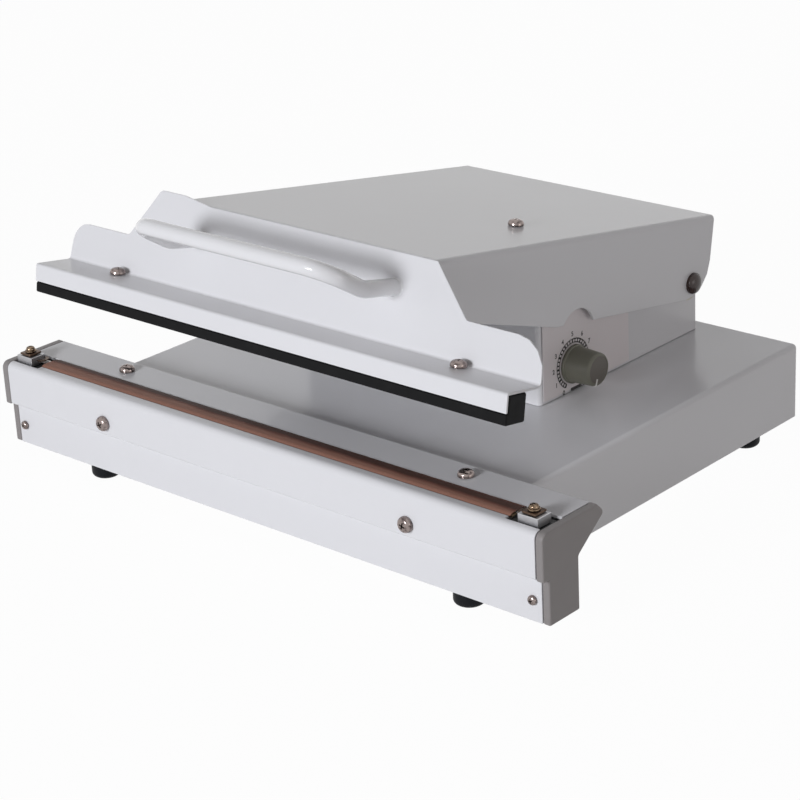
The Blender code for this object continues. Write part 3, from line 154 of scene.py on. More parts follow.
class Recipe:
    """A Principled material and the nodes that feed it."""

    def __init__(self, name: str) -> None:
        """Start a material with a Principled shader."""
        self.material = bpy.data.materials.new(name)
        self.material.use_nodes = True
        self.tree = self.material.node_tree
        self.surface = self.tree.nodes["Principled BSDF"]

    def feed(self, socket: bpy.types.NodeSocket, value: object) -> None:
        """Give a socket a value, or a link where the value is a wire."""
        if isinstance(value, Wire):
            self.tree.links.new(value.socket, socket)
        else:
            socket.default_value = value

    def node(self, kind: str, settings: dict | None = None,
             inputs: dict | None = None) -> bpy.types.Node:
        """Add any node.

        Args:
            kind: The node's type.
            settings: Its properties, set first; "stops" holds a ramp's stops.
            inputs: The values or wires of its sockets.

        Returns:
            The node.
        """
        made = self.tree.nodes.new(kind)
        for key, value in (settings or {}).items():
            if key == "stops":
                self.ramp_stops(made, value)
            else:
                setattr(made, key, value)
        for key, value in (inputs or {}).items():
            self.feed(made.inputs[key], value)
        return made

    @staticmethod
    def ramp_stops(made: bpy.types.Node, stops: list[tuple[float, Colour]]) -> None:
        """Set the stops of a colour ramp.

        Args:
            made: The ramp's node.
            stops: Each stop's place and colour.
        """
        ramp = made.color_ramp
        while len(ramp.elements) < len(stops):
            ramp.elements.new(0.5)
        for element, (place, colour) in zip(ramp.elements, stops):
            element.position = place
            element.color = (*colour, 1.0)

    def wire(self, kind: str, settings: dict | None = None, inputs: dict | None = None,
             output: int | str = 0) -> Wire:
        """Add any node and give one of its outputs as a wire."""
        return Wire(self, self.node(kind, settings, inputs).outputs[output])

    def place(self) -> Wire:
        """Give the Object coordinates."""
        return self.wire("ShaderNodeTexCoord", output="Object")

    def stretched(self, scale: Place) -> Wire:
        """Give the Object coordinates scaled unlike along the axes."""
        return self.wire("ShaderNodeMapping", None, {"Vector": self.place(), "Scale": scale})

    def noise(self, size: float, detail: float = 2.0, vector: Wire | None = None) -> Wire:
        """Give noise from 0 to 1 whose lumps have a size in metres."""
        inputs = {"Vector": vector or self.place(), "Scale": 1.0 / size, "Detail": detail}
        return self.wire("ShaderNodeTexNoise", None, inputs)

    def axis(self, index: int) -> Wire:
        """Give one of the Object coordinates."""
        return self.wire("ShaderNodeSeparateXYZ", None, {"Vector": self.place()}, index)

    def ramp(self, share: Wire, stops: list[tuple[float, Colour]]) -> Wire:
        """Give the colour of a ramp at a share."""
        return self.wire("ShaderNodeValToRGB", {"stops": stops}, {"Fac": share})

    def blend(self, share: Wire, one: Colour | Wire, two: Colour | Wire) -> Wire:
        """Mix two colours.

        Args:
            share: How much of the second colour there is, from 0 to 1.
            one: The first colour.
            two: The second colour.

        Returns:
            The mixed colour.
        """
        first, second = [(*end, 1.0) if isinstance(end, tuple) else end for end in (one, two)]
        return self.wire("ShaderNodeMix", {"data_type": "RGBA"}, {0: share, 6: first, 7: second}, 2)

    def relief(self, height: Wire, depth: float) -> None:
        """Bump the surface by a height of 0 to 1 times a depth in metres."""
        bump = self.wire("ShaderNodeBump", None, {"Height": height, "Distance": depth})
        self.feed(self.surface.inputs["Normal"], bump)

    def set(self, **values: object) -> None:
        """Set the shader's own sockets.

        Args:
            **values: The value or wire of each socket, with _ for each blank in its name.
        """
        for key, value in values.items():
            if isinstance(value, tuple):
                value = (*value, 1.0)
            self.feed(self.surface.inputs[key.replace("_", " ")], value)


@dataclass(frozen=True)
class Finish:
    """What every finish has: a name, a colour and a roughness."""

    name: str
    colour: Colour
    roughness: float

    def material(self) -> bpy.types.Material:
        """Give the finish's material, made once and named apart from the frame's own.

        Returns:
            The material.
        """
        label = f"{self.name}_finish"
        found = bpy.data.materials.get(label)
        if found:
            return found
        recipe = Recipe(label)
        recipe.set(Base_Color=self.colour, Roughness=self.roughness)
        self.cook(recipe)
        return recipe.material

    def cook(self, recipe: Recipe) -> None:
        """Add what is special to the finish."""

    def tinted(self, recipe: Recipe, size: float, depth: float) -> Wire:
        """Give the colour with soft clouds of a size, darker by a share."""
        dark = tuple(channel * (1.0 - depth) for channel in self.colour)
        return recipe.blend(recipe.noise(size, 3.0), dark, self.colour)


@dataclass(frozen=True)
class Paint(Finish):
    """Baked enamel with a soft gloss and a faint orange peel."""

    peel: float = 1.6 * MM
    peel_depth: float = 0.0012 * MM
    cloud: float = 150.0 * MM
    shade: float = 0.02
    wear: float = 0.04
    wear_patch: float = 37.5 * MM
    coat: float = 0.20
    coat_roughness: float = 0.07
    shine: float = 0.28

    def cook(self, recipe: Recipe) -> None:
        """Add clouds, gloss and orange peel.

        Args:
            recipe: The material in the making.
        """
        recipe.set(Base_Color=self.tinted(recipe, self.cloud, self.shade))
        recipe.set(Roughness=self.roughness + self.wear * recipe.noise(self.wear_patch))
        recipe.set(Coat_Weight=self.coat, Coat_Roughness=self.coat_roughness,
                   Specular_IOR_Level=self.shine)
        recipe.relief(recipe.noise(self.peel, detail=1.0), self.peel_depth)


@dataclass(frozen=True)
class Moulded(Finish):
    """Moulded plastic with a fine grain."""

    grain: float = 0.35 * MM
    grain_depth: float = 0.02 * MM
    cloud: float = 25.0 * MM
    shade: float = 0.10
    wear: float = 0.10
    wear_patch: float = 6.0 * MM

    def cook(self, recipe: Recipe) -> None:
        """Add the grain and a slight change of shade.

        Args:
            recipe: The material in the making.
        """
        recipe.set(Base_Color=self.tinted(recipe, self.cloud, self.shade))
        recipe.set(Roughness=self.roughness + self.wear * recipe.noise(self.wear_patch))
        recipe.relief(recipe.noise(self.grain), self.grain_depth)


@dataclass(frozen=True)
class Rubber(Finish):
    """Black rubber with a trace of dust."""

    dust: Colour = (0.02, 0.02, 0.02)
    dust_patch: float = 9.0 * MM
    dust_from: float = 0.55
    dust_gain: float = 1.2
    wear: float = 0.15
    wear_patch: float = 4.0 * MM
    shine: float = 0.12
    skin: float = 0.6 * MM
    skin_depth: float = 0.02 * MM

    def cook(self, recipe: Recipe) -> None:
        """Add dust in patches and a soft skin.

        Args:
            recipe: The material in the making.
        """
        dust = (recipe.noise(self.dust_patch, detail=4.0) - self.dust_from) * self.dust_gain
        recipe.set(Base_Color=recipe.blend(dust.clipped(), self.colour, self.dust))
        recipe.set(Roughness=self.roughness + self.wear * recipe.noise(self.wear_patch),
                   Specular_IOR_Level=self.shine)
        recipe.relief(recipe.noise(self.skin), self.skin_depth)


@dataclass(frozen=True)
class Metal(Finish):
    """Plated or bare metal, drawn or turned in one direction."""

    lines: Place = (1.0, 1.0, 1.0)
    # Colour and share of the dark patches: tarnish, and on the screws painted reflection.
    tarnish: Colour = (0.35, 0.28, 0.22)
    stain: float = 0.25
    patch: float = 3.0 * MM
    patch_from: float = 0.46
    patch_gain: float = 4.0
    grain: float = 0.9 * MM
    grain_depth: float = 0.008 * MM
    wear: float = 0.16

    def cook(self, recipe: Recipe) -> None:
        """Add drawing lines and dark patches: tarnish, and on the screws painted reflection.

        Args:
            recipe: The material in the making.
        """
        grain = recipe.noise(self.grain, 3.0, recipe.stretched(self.lines))
        # Dark patches: tarnish, and on the screws painted reflection of a dark surround.
        patches = ((recipe.noise(self.patch) - self.patch_from) * self.patch_gain).clipped()
        recipe.set(Base_Color=recipe.blend(patches * self.stain, self.colour, self.tarnish))
        recipe.set(Roughness=self.roughness + self.wear * grain, Metallic=1.0)
        recipe.relief(grain, self.grain_depth)


@dataclass(frozen=True)
class GlassCloth(Finish):
    """Brown coated glass cloth, with painted shade darkening it behind the trace of the element."""

    # The dark tone is painted shade towards the cloth's rear; it also colours the weave's threads.
    dark: Colour = (0.070, 0.034, 0.026)
    ruddy: Colour = (0.50, 0.40, 0.38)
    bands: tuple[float, ...] = (0.0, 0.36, 0.50, 0.62, 0.90, 1.0)
    middle: float = 0.0
    width: float = 11.3 * MM
    drift: float = 0.75
    smudge: float = 7.0 * MM
    smudge_lines: Place = (0.35, 1.0, 1.0)
    smudge_share: float = 0.24
    thread: float = 0.42 * MM
    thread_share: float = 0.22
    thread_depth: float = 0.02 * MM
    wear: float = 0.12
    shine: float = 0.15

    def cook(self, recipe: Recipe) -> None:
        """Add the two tones, the rear one painted shade, the trace in the middle, smudges and the
        weave.

        Args:
            recipe: The material in the making.
        """
        across = (recipe.axis(1) - (self.middle - self.width / 2)) * (1.0 / self.width)
        smudge = recipe.noise(self.smudge, 4.0, recipe.stretched(self.smudge_lines))
        # The dark band of the ramp is painted shade; the drift moves it forward towards +X.
        share = across + recipe.axis(0) * self.drift + (smudge - 0.5) * self.smudge_share
        ruddy = tuple(channel * part for channel, part in zip(self.colour, self.ruddy))
        tones = (self.colour, self.colour, ruddy, self.dark, self.dark, ruddy)
        bands = recipe.ramp(share, list(zip(self.bands, tones)))
        crossing = recipe.axis(0).wave(self.thread) * recipe.axis(1).wave(self.thread)
        weave = (crossing + 1.0) * 0.5
        recipe.set(Base_Color=recipe.blend(weave * self.thread_share, bands, self.dark))
        recipe.set(Roughness=self.roughness + self.wear * smudge, Specular_IOR_Level=self.shine)
        recipe.relief(weave, self.thread_depth)


@dataclass(frozen=True)
class Laminated(Metal):
    """A stack of thin varnished sheets, seen on its edges."""

    pitch: float = 1.0 * MM
    gap: Colour = (0.05, 0.05, 0.055)
    gap_share: float = 0.5
    gap_depth: float = 0.08 * MM
    sheen: float = 0.6

    def cook(self, recipe: Recipe) -> None:
        """Add the sheets' edges along Y.

        Args:
            recipe: The material in the making.
        """
        edge = recipe.axis(1).ridges(self.pitch)
        recipe.set(Base_Color=recipe.blend(edge * self.gap_share, self.colour, self.gap))
        recipe.set(Metallic=self.sheen)
        recipe.relief(edge, self.gap_depth)


@dataclass(frozen=True)
class Wound(Metal):
    """Enamelled copper turns that run around a coil."""

    pitch: float = 0.9 * MM
    gap: Colour = (0.22, 0.07, 0.03)
    gap_depth: float = 0.2 * MM
    sheen: float = 0.7

    def cook(self, recipe: Recipe) -> None:
        """Add the turns, stacked in Z.

        Args:
            recipe: The material in the making.
        """
        turn = recipe.axis(2).ridges(self.pitch)
        recipe.set(Base_Color=recipe.blend(turn, self.gap, self.colour), Metallic=self.sheen)
        recipe.relief(turn, self.gap_depth)


PAINT = Paint("white_enamel", (0.80, 0.80, 0.815), 0.24)
PAINT_TUBE = Paint("white_enamel_tube", (0.81, 0.81, 0.82), 0.20, coat=0.8,
                   coat_roughness=0.05)
CAP_PLASTIC = Moulded("grey_cap_plastic", (0.27, 0.25, 0.245), 0.42)
FOIL = Moulded("dial_foil", (0.83, 0.78, 0.785), 0.38, grain_depth=0.003 * MM, shade=0.03)
KNOB_PLASTIC = Moulded("olive_knob_plastic", (0.165, 0.162, 0.125), 0.42, grain=0.25 * MM)
KNOB_FACE = Moulded("brown_knob_face", (0.125, 0.112, 0.095), 0.45, grain=0.25 * MM)
PIVOT_PLASTIC = Moulded("brown_cap_plastic", (0.030, 0.012, 0.009), 0.20,
                        grain_depth=0.004 * MM)
BLACK_PLASTIC = Moulded("black_plastic", (0.012, 0.012, 0.012), 0.45)
NYLON = Moulded("natural_nylon", (0.68, 0.66, 0.58), 0.40)
BOARD = Moulded("circuit_board", (0.03, 0.16, 0.06), 0.35)
TAN_CLOTH = Moulded("insulating_cloth", (0.42, 0.30, 0.18), 0.75, grain=0.6 * MM,
                    grain_depth=0.1 * MM)
INK = Moulded("black_ink", (0.022, 0.021, 0.020), 0.55, grain_depth=0.002 * MM)
POINTER_PAINT = Moulded("pointer_white", (0.78, 0.76, 0.73), 0.45)
RUBBER = Rubber("pressing_rubber", (0.004, 0.004, 0.0045), 0.55)
FOOT_RUBBER = Rubber("foot_rubber", (0.007, 0.008, 0.010), 0.42)
# The screws' darkened base colours and near-black patches are painted reflection of a dark
# surround.
NICKEL = Metal("bright_screw", (0.30, 0.25, 0.235), 0.10, stain=0.9,
               tarnish=(0.05, 0.035, 0.035), patch=1.6 * MM)
BRONZED = Metal("bronzed_screw", (0.24, 0.175, 0.12), 0.12, stain=0.9,
                tarnish=(0.05, 0.03, 0.02), patch=1.6 * MM)
DARK_BRASS = Metal("dark_brass", (0.12, 0.08, 0.058), 0.28, stain=0.7,
                   tarnish=(0.05, 0.03, 0.02))
BRASS = Metal("brass", (0.72, 0.55, 0.28), 0.25)
ALUMINIUM = Metal("drawn_aluminium", (0.46, 0.46, 0.475), 0.30, lines=(0.08, 1.0, 1.0),
                  stain=0.10)
ALLOY = Metal("element_alloy", (0.45, 0.42, 0.40), 0.35, lines=(0.05, 1.0, 1.0))
ZINC = Metal("zinc_plate", (0.58, 0.58, 0.58), 0.30, stain=0.10, tarnish=(0.40, 0.40, 0.36))
CORE_STEEL = Laminated("core_sheets", (0.22, 0.22, 0.235), 0.45)
WINDING = Wound("copper_winding", (0.62, 0.24, 0.09), 0.35)


@dataclass
class Workshop:
    """Turns bmeshes into pieces that ride on the bodies of the frame."""

    frame: dict
    smooth: float = math.radians(34)
    merge: float = 0.004 * MM
    flat: float = math.radians(0.8)
    crease: float = math.radians(38)
    bodies: dict[str, str] = field(default_factory=dict)

    def __post_init__(self) -> None:
        """Note each node's body."""
        for body, nodes in self.frame["record"]["behaviour"]["bodies"].items():
            self.bodies.update({node: body for node in nodes})

    def joint(self, name: str) -> dict:
        """Give one of the record's joints."""
        return next(joint for joint in self.frame["joints"] if joint["name"] == name)

    def lid_turn(self) -> Matrix:
        """Give the turn that carries the shut lid to where it rests open.

        Returns:
            The turn about the hinge.
        """
        hinge = self.joint("lid_hinge")
        pivot = Vector(hinge["pos_m"])
        turn = Matrix.Rotation(-math.radians(max(hinge["range_deg"])), 4, Axis.ACROSS.value)
        return Matrix.Translation(pivot) @ turn @ Matrix.Translation(-pivot)

    def adopt(self, thing: bpy.types.Object, finish: Finish, body: str,
              nodes: tuple[str, ...] = ()) -> bpy.types.Object:
        """Dress an object, let it ride on a body and stand for nodes.

        Args:
            thing: The object.
            finish: Its finish.
            body: The body that it rides on.
            nodes: The CAD nodes that it stands for.

        Returns:
            The object.
        """
        thing.data.materials.clear()
        thing.data.materials.append(finish.material())
        if nodes:
            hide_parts(*nodes)
        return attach(thing, body)

    def piece(self, name: str, bm: bmesh.types.BMesh, finish: Finish, body: str, slot: str,
              nodes: tuple[str, ...] = ()) -> bpy.types.Object:
        """Make a piece of a closed bmesh.

        Args:
            name: The piece's name.
            bm: Its shape, which is used up.
            finish: Its finish.
            body: The body that it rides on.
            slot: The record's material slot; not used.
            nodes: The CAD nodes that it stands for.

        Returns:
            The piece.
        """
        bmesh.ops.remove_doubles(bm, verts=bm.verts, dist=WELD)
        bmesh.ops.recalc_face_normals(bm, faces=bm.faces)
        mesh = bpy.data.meshes.new(name)
        bm.to_mesh(mesh)
        bm.free()
        mesh.shade_smooth()
        mesh.set_sharp_from_angle(angle=self.smooth)
        thing = bpy.data.objects.new(name, mesh)
        bpy.context.scene.collection.objects.link(thing)
        return self.adopt(thing, finish, body, nodes)

    def softened(self, node: str, width: float, segments: int = 3) -> bmesh.types.BMesh:
        """Copy a node's shape with its sharp edges rounded.

        Args:
            node: The CAD node.
            width: The rounding's width.
            segments: The rounding's steps.

        Returns:
            The rounded shape.
        """
        bm = bmesh.new()
        bm.from_mesh(self.frame["nodes"][node].data)
        bmesh.ops.remove_doubles(bm, verts=bm.verts, dist=self.merge)
        bmesh.ops.dissolve_limit(bm, angle_limit=self.flat, verts=bm.verts, edges=bm.edges)
        sharp = [edge for edge in bm.edges if len(edge.link_faces) == 2
                 and edge.calc_face_angle(0.0) > self.crease]
        bmesh.ops.bevel(bm, geom=sharp, offset=width, offset_type="OFFSET", segments=segments,
                        profile=0.5, affect="EDGES", material=-1, clamp_overlap=False)
        return bm

    def dress(self, node: str, finish: Finish, slot: str, width: float,
              segments: int = 3) -> None:
        """Show a node with rounded edges and a finish.

        Args:
            node: The CAD node.
            finish: Its finish.
            slot: The record's material slot.
            width: The rounding's width.
            segments: The rounding's steps.
        """
        bm = self.softened(node, width, segments)
        thing = self.piece(f"{node}_shell", bm, finish, self.bodies[node], slot, (node,))
        weights = thing.modifiers.new("weights", "WEIGHTED_NORMAL")
        weights.keep_sharp = True

    def coat(self, node: str, finish: Finish) -> None:
        """Give a CAD node that stays a finish of its own.

        Args:
            node: The CAD node.
            finish: Its finish.
        """
        thing = self.frame["nodes"][node]
        if not thing.material_slots:
            thing.data.materials.append(None)
        for spot in thing.material_slots:
            spot.material = finish.material()


class Shapes:
    """Small shapes that bmesh operators make."""

    @staticmethod
    def turned(profile: list[tuple[float, float]], steps: int = 48) -> bmesh.types.BMesh:
        """Spin a profile about Z into a closed solid.

        Args:
            profile: Each point's radius and height.
            steps: The steps of the full turn.

        Returns:
            The solid.
        """
        bm = bmesh.new()
        ring = [bm.verts.new((radius, 0.0, height)) for radius, height in profile]
        edges = [bm.edges.new(pair) for pair in zip(ring, ring[1:])]
        bmesh.ops.spin(bm, geom=ring + edges, cent=(0, 0, 0), axis=(0, 0, 1), angle=math.tau,
                       steps=steps, use_merge=True)
        bmesh.ops.remove_doubles(bm, verts=bm.verts, dist=WELD)
        bmesh.ops.recalc_face_normals(bm, faces=bm.faces)
        return bm

    @staticmethod
    def slab(size: Vector, centre: Vector, rounding: float = 0.0,
             segments: int = 3) -> bmesh.types.BMesh:
        """Make a block with rounded edges.

        Args:
            size: Its lengths along the axes.
            centre: Its middle.
            rounding: The rounding's width, or 0 for sharp edges.
            segments: The rounding's steps.

        Returns:
            The block.
        """
        bm = bmesh.new()
        bmesh.ops.create_cube(bm, size=1.0)
        bmesh.ops.scale(bm, vec=size, verts=bm.verts)
        bmesh.ops.translate(bm, vec=centre, verts=bm.verts)
        if rounding:
            bmesh.ops.bevel(bm, geom=bm.edges[:], offset=rounding, offset_type="OFFSET",
                            segments=segments, profile=0.5, affect="EDGES", material=-1)
        return bm

    @staticmethod
    def prism(outline: list[tuple[float, float]], depth: float) -> bmesh.types.BMesh:
        """Raise an outline in Z.

        Args:
            outline: Its points in X and Y.
            depth: How far it rises.

        Returns:
            The closed prism.
        """
        bm = bmesh.new()
        face = bm.faces.new([bm.verts.new((x, y, 0.0)) for x, y in outline])
        grown = bmesh.ops.extrude_face_region(bm, geom=[face])["geom"]
        tops = [part for part in grown if isinstance(part, bmesh.types.BMVert)]
        bmesh.ops.translate(bm, verts=tops, vec=(0.0, 0.0, depth))
        bmesh.ops.recalc_face_normals(bm, faces=bm.faces)
        return bm

    @staticmethod
    def tube(points: list[Vector], radius: float, sides: int = 32) -> bmesh.types.BMesh:
        """Sweep a circle along points, with caps on its ends.

        Args:
            points: The middle line.
            radius: The tube's radius.
            sides: The circle's sides.

        Returns:
            The tube.
        """
        bm = bmesh.new()
        rings = []
        lean = Vector((0.0, 0.0, 1.0))
        for index, point in enumerate(points):
            back = points[max(index - 1, 0)]
            ahead = points[min(index + 1, len(points) - 1)]
            along = (ahead - back).normalized()
            side = along.cross(lean).normalized()
            lean = side.cross(along).normalized()
            circle = bmesh.ops.create_circle(bm, segments=sides, radius=radius)["verts"]
            place = Matrix((side, lean, along)).transposed().to_4x4()
            place.translation = point
            bmesh.ops.transform(bm, matrix=place, verts=circle)
            rings.append(circle)
        for one, two in zip(rings, rings[1:]):
            loops = [edge for edge in bm.edges
                     if all(vert in one or vert in two for vert in edge.verts)]
            bmesh.ops.bridge_loops(bm, edges=loops)
        for ring in (rings[0], rings[-1]):
            bmesh.ops.contextual_create(bm, geom=ring)
        bmesh.ops.recalc_face_normals(bm, faces=bm.faces)
        return bm

    @staticmethod
    def bent(points: list[Vector], radii: list[float], steps: int = 12) -> list[Vector]:
        """Round the corners of a line in space.

        Args:
            points: The line's corners and ends.
            radii: Each point's own radius, or 0 to leave it sharp.
            steps: The steps of each rounded corner.

        Returns:
            The points of the rounded line.
        """
        line = []
        for index, point in enumerate(points):
            radius = radii[index]
            if radius <= 0:
                line.append(point)
                continue
            back = (points[index - 1] - point).normalized()
            ahead = (points[index + 1] - point).normalized()
            half = back.angle(ahead) / 2
            centre = point + (back + ahead).normalized() * radius / math.sin(half)
            spoke = point + back * radius / math.tan(half) - centre
            for step in range(steps + 1):
                turn = Matrix.Rotation((math.pi - 2 * half) * step / steps, 3, back.cross(spoke))
                line.append(centre + turn @ spoke)
        return line

    @staticmethod
    def aimed(bm: bmesh.types.BMesh, direction: Vector, point: Vector) -> bmesh.types.BMesh:
        """Turn +Z to a direction and carry the origin to a point.

        Args:
            bm: The shape, which is changed.
            direction: Where +Z goes.
            point: Where the origin goes.

        Returns:
            The same shape.
        """
        turn = Axis.UP.value.rotation_difference(direction).to_matrix().to_4x4()
        bmesh.ops.transform(bm, matrix=Matrix.Translation(point) @ turn, verts=bm.verts)
        return bm

    @staticmethod
    def joined(parts: list[bmesh.types.BMesh]) -> bmesh.types.BMesh:
        """Gather several shapes in one bmesh.

        Args:
            parts: The shapes, which are used up.

        Returns:
            The whole.
        """
        whole = bmesh.new()
        for part in parts:
            mesh = bpy.data.meshes.new("part")
            part.to_mesh(mesh)
            part.free()
            whole.from_mesh(mesh)
            bpy.data.meshes.remove(mesh)
        return whole


@dataclass
class Casework:
    """The painted sheet-metal covers and the grey end caps."""

    shop: Workshop
    rim: float = 0.35 * MM
    cap_rim: float = 0.8 * MM
    painted: tuple[str, ...] = ("base_cover", "bar_frame", "lower_front_panel", "upper_front_panel",
                                "housing_cover", "lid_cover", "jaw_plate")

    def build(self) -> None:
        """Dress every cover."""
        for node in self.painted:
            self.shop.dress(node, PAINT, "white_paint", self.rim)
            LOG.info("dressed %s", node)
        for side in SIDES:
            self.shop.dress(f"end_cap_{side}", CAP_PLASTIC, "grey_plastic", self.cap_rim)
        self.front_seam()

    def front_seam(self) -> None:
        """Fill the joint between the lid's top and the front plate."""
        seam = FrontSeam(self.shop)
        seam.build()


@dataclass
class FrontSeam:
    """The painted joint where the front plate meets the lid's top."""

    shop: Workshop
    play: float = 0.3 * MM
    width: float = 0.66 * MM
    depth: float = 1.0 * MM
    inset: float = 2.6 * MM
    sunk: float = 0.02 * MM
    rim: float = 0.08 * MM
    slack: float = 0.1 * MM

    def build(self) -> None:
        """Lay a thin painted bead in the joint."""
        shut = self.shop.lid_turn().inverted()
        verts = self.shop.frame["nodes"]["lid_cover"].data.vertices
        places = [shut @ vert.co for vert in verts]
        top = max(place.z for place in places)
        front = min(place.y for place in places if place.z > top - self.slack)
        half = max(place.x for place in places) - self.inset
        size = Vector((half + half, self.width, self.depth))
        centre = Vector((0.0, front - self.play / 2, top - self.depth / 2 - self.sunk))
        bm = Shapes.slab(size, centre, self.rim)
        bmesh.ops.transform(bm, matrix=self.shop.lid_turn(), verts=bm.verts)
        self.shop.piece("front_seam", bm, PAINT, "lid", "white_paint")
        LOG.info("filled the front seam")


@dataclass(frozen=True)
class HeadSize:
    """The sizes of a cross-recessed screw head."""

    radius: float
    height: float
    shank: float
    recess: float
    arm: float
    washer: float = 0.0
    washer_height: float = 0.0
    washer_rim: float = 0.25
    dome: Profile = ((0.0, 1.0), (0.3, 0.985), (0.55, 0.935), (0.75, 0.83), (0.88, 0.68),
                     (0.96, 0.49), (1.0, 0.27), (1.0, 0.07), (0.96, 0.0))
    cut_reach: float = 1.3
    cut_taper: float = 0.42
    cut_floor: float = 0.12
    steps: int = 40

    def shape(self) -> bmesh.types.BMesh:
        """Make the head, its captive washer and a stub of the shank, top up.

        Returns:
            The closed head, seated at the origin.
        """
        low, tall = self.washer_height, self.height - self.washer_height
        profile = [(self.radius * out, low + tall * up) for out, up in self.dome]
        if self.washer:
            rim = low * self.washer_rim
            profile += [(self.washer - rim, low), (self.washer, low - rim), (self.washer, rim),
                        (self.washer - rim, 0.0)]
        profile += [(self.shank, 0.0), (self.shank, -self.height), (0.0, -self.height)]
        return Shapes.turned(profile, self.steps)

    def cutter(self) -> bmesh.types.BMesh:
        """Make the tapered cross that cuts the recess.

        Returns:
            The closed cross, over the head.
        """
        near, far = self.arm / 2, self.recess
        outline = [(near, near), (far, near), (far, -near), (near, -near), (near, -far),
                   (-near, -far), (-near, -near), (-far, -near), (-far, near), (-near, near),
                   (-near, far), (near, far)]
        bm = Shapes.prism(outline, self.height * self.cut_reach)
        low = [vert for vert in bm.verts if vert.co.z < self.height / 2]
        bmesh.ops.scale(bm, vec=(self.cut_taper, self.cut_taper, 1.0), verts=low)
        bmesh.ops.translate(bm, vec=(0.0, 0.0, self.height * self.cut_floor), verts=bm.verts)
        return bm


@dataclass
class Fasteners:
    """Every screw that shows, with its cross recess."""

    shop: Workshop
    pan: HeadSize = HeadSize(3.9 * MM, 3.1 * MM, 2.0 * MM, 2.1 * MM, 0.85 * MM)
    small: HeadSize = HeadSize(2.3 * MM, 1.8 * MM, 1.3 * MM, 1.3 * MM, 0.55 * MM)
    terminal: HeadSize = HeadSize(2.25 * MM, 2.6 * MM, 1.7 * MM, 1.3 * MM, 0.6 * MM, 2.9 * MM,
                                  0.7 * MM)
    spin: float = 0.4
    side_spin: float = 0.9
    lid_spin: float = 0.3
    meshes: dict[HeadSize, bpy.types.Mesh] = field(default_factory=dict)

    def build(self) -> None:
        """Build the screws of the bar, the panels and the lid."""
        opened = self.shop.lid_turn()
        still = Matrix.Identity(4)
        rows = (("front_panel_screw", self.pan, Axis.AHEAD, still, 0.0, NICKEL),
                ("lower_panel_screw", self.small, Axis.AHEAD, still, 0.5, NICKEL),
                ("deck_screw", self.pan, Axis.UP, still, 0.2, NICKEL),
                ("terminal_screw", self.terminal, Axis.UP, still, 0.0, BRONZED),
                ("ledge_screw", self.pan, Axis.UP, opened, 0.7, NICKEL))
        for index, side in enumerate(SIDES):
            spin = self.spin + self.side_spin * index
            for name, size, axis, turn, more, finish in rows:
                self.screw(f"{name}_{side}", size, axis.value, turn, spin + more, finish)
        self.screw("lid_screw", self.pan, Axis.UP.value, opened, self.lid_spin, NICKEL)

    def head(self, size: HeadSize) -> bpy.types.Mesh:
        """Give the mesh of a recessed head, made once for each size.

        Args:
            size: The head's sizes.

        Returns:
            The mesh, seated at the origin with its top up.
        """
        if size not in self.meshes:
            holders = []
            for bm in (size.shape(), size.cutter()):
                mesh = bpy.data.meshes.new("head")
                bm.to_mesh(mesh)
                bm.free()
                holder = bpy.data.objects.new("head", mesh)
                bpy.context.scene.collection.objects.link(holder)
                holders.append(holder)
            cut = holders[0].modifiers.new("recess", "BOOLEAN")
            cut.operation = "DIFFERENCE"
            cut.solver = "EXACT"
            cut.object = holders[1]
            graph = bpy.context.evaluated_depsgraph_get()
            graph.update()
            self.meshes[size] = bpy.data.meshes.new_from_object(holders[0].evaluated_get(graph))
            for holder in holders:
                bpy.data.objects.remove(holder, do_unlink=True)
        return self.meshes[size]

    def screw(self, node: str, size: HeadSize, direction: Vector, turn: Matrix, spin: float,
              finish: Finish) -> None:
        """Set a screw where its CAD node stands.

        Args:
            node: The CAD node.
            size: The head's sizes.
            direction: Which way the head faces before the turn.
            turn: The turn that opens the lid, or none.
            spin: How far the screw is driven round, in radians.
            finish: Its finish.
        """
        back = turn.inverted()
        places = [back @ vert.co for vert in self.shop.frame["nodes"][node].data.vertices]
        top = max(place.dot(direction) for place in places)
        low = Vector(min(place[axis] for place in places) for axis in range(3))
        high = Vector(max(place[axis] for place in places) for axis in range(3))
        middle = (low + high) / 2
        seat = middle + direction * (top - size.height - middle.dot(direction))
        bm = bmesh.new()
        bm.from_mesh(self.head(size))
        bmesh.ops.rotate(bm, cent=(0, 0, 0), matrix=Matrix.Rotation(spin, 3, "Z"), verts=bm.verts)
        Shapes.aimed(bm, direction, seat)
        bmesh.ops.transform(bm, matrix=turn, verts=bm.verts)
        slot = "brass" if finish is BRONZED else "bright_screw"
        self.shop.piece(f"{node}_head", bm, finish, self.shop.bodies[node], slot, (node,))
        LOG.info("set %s", node)


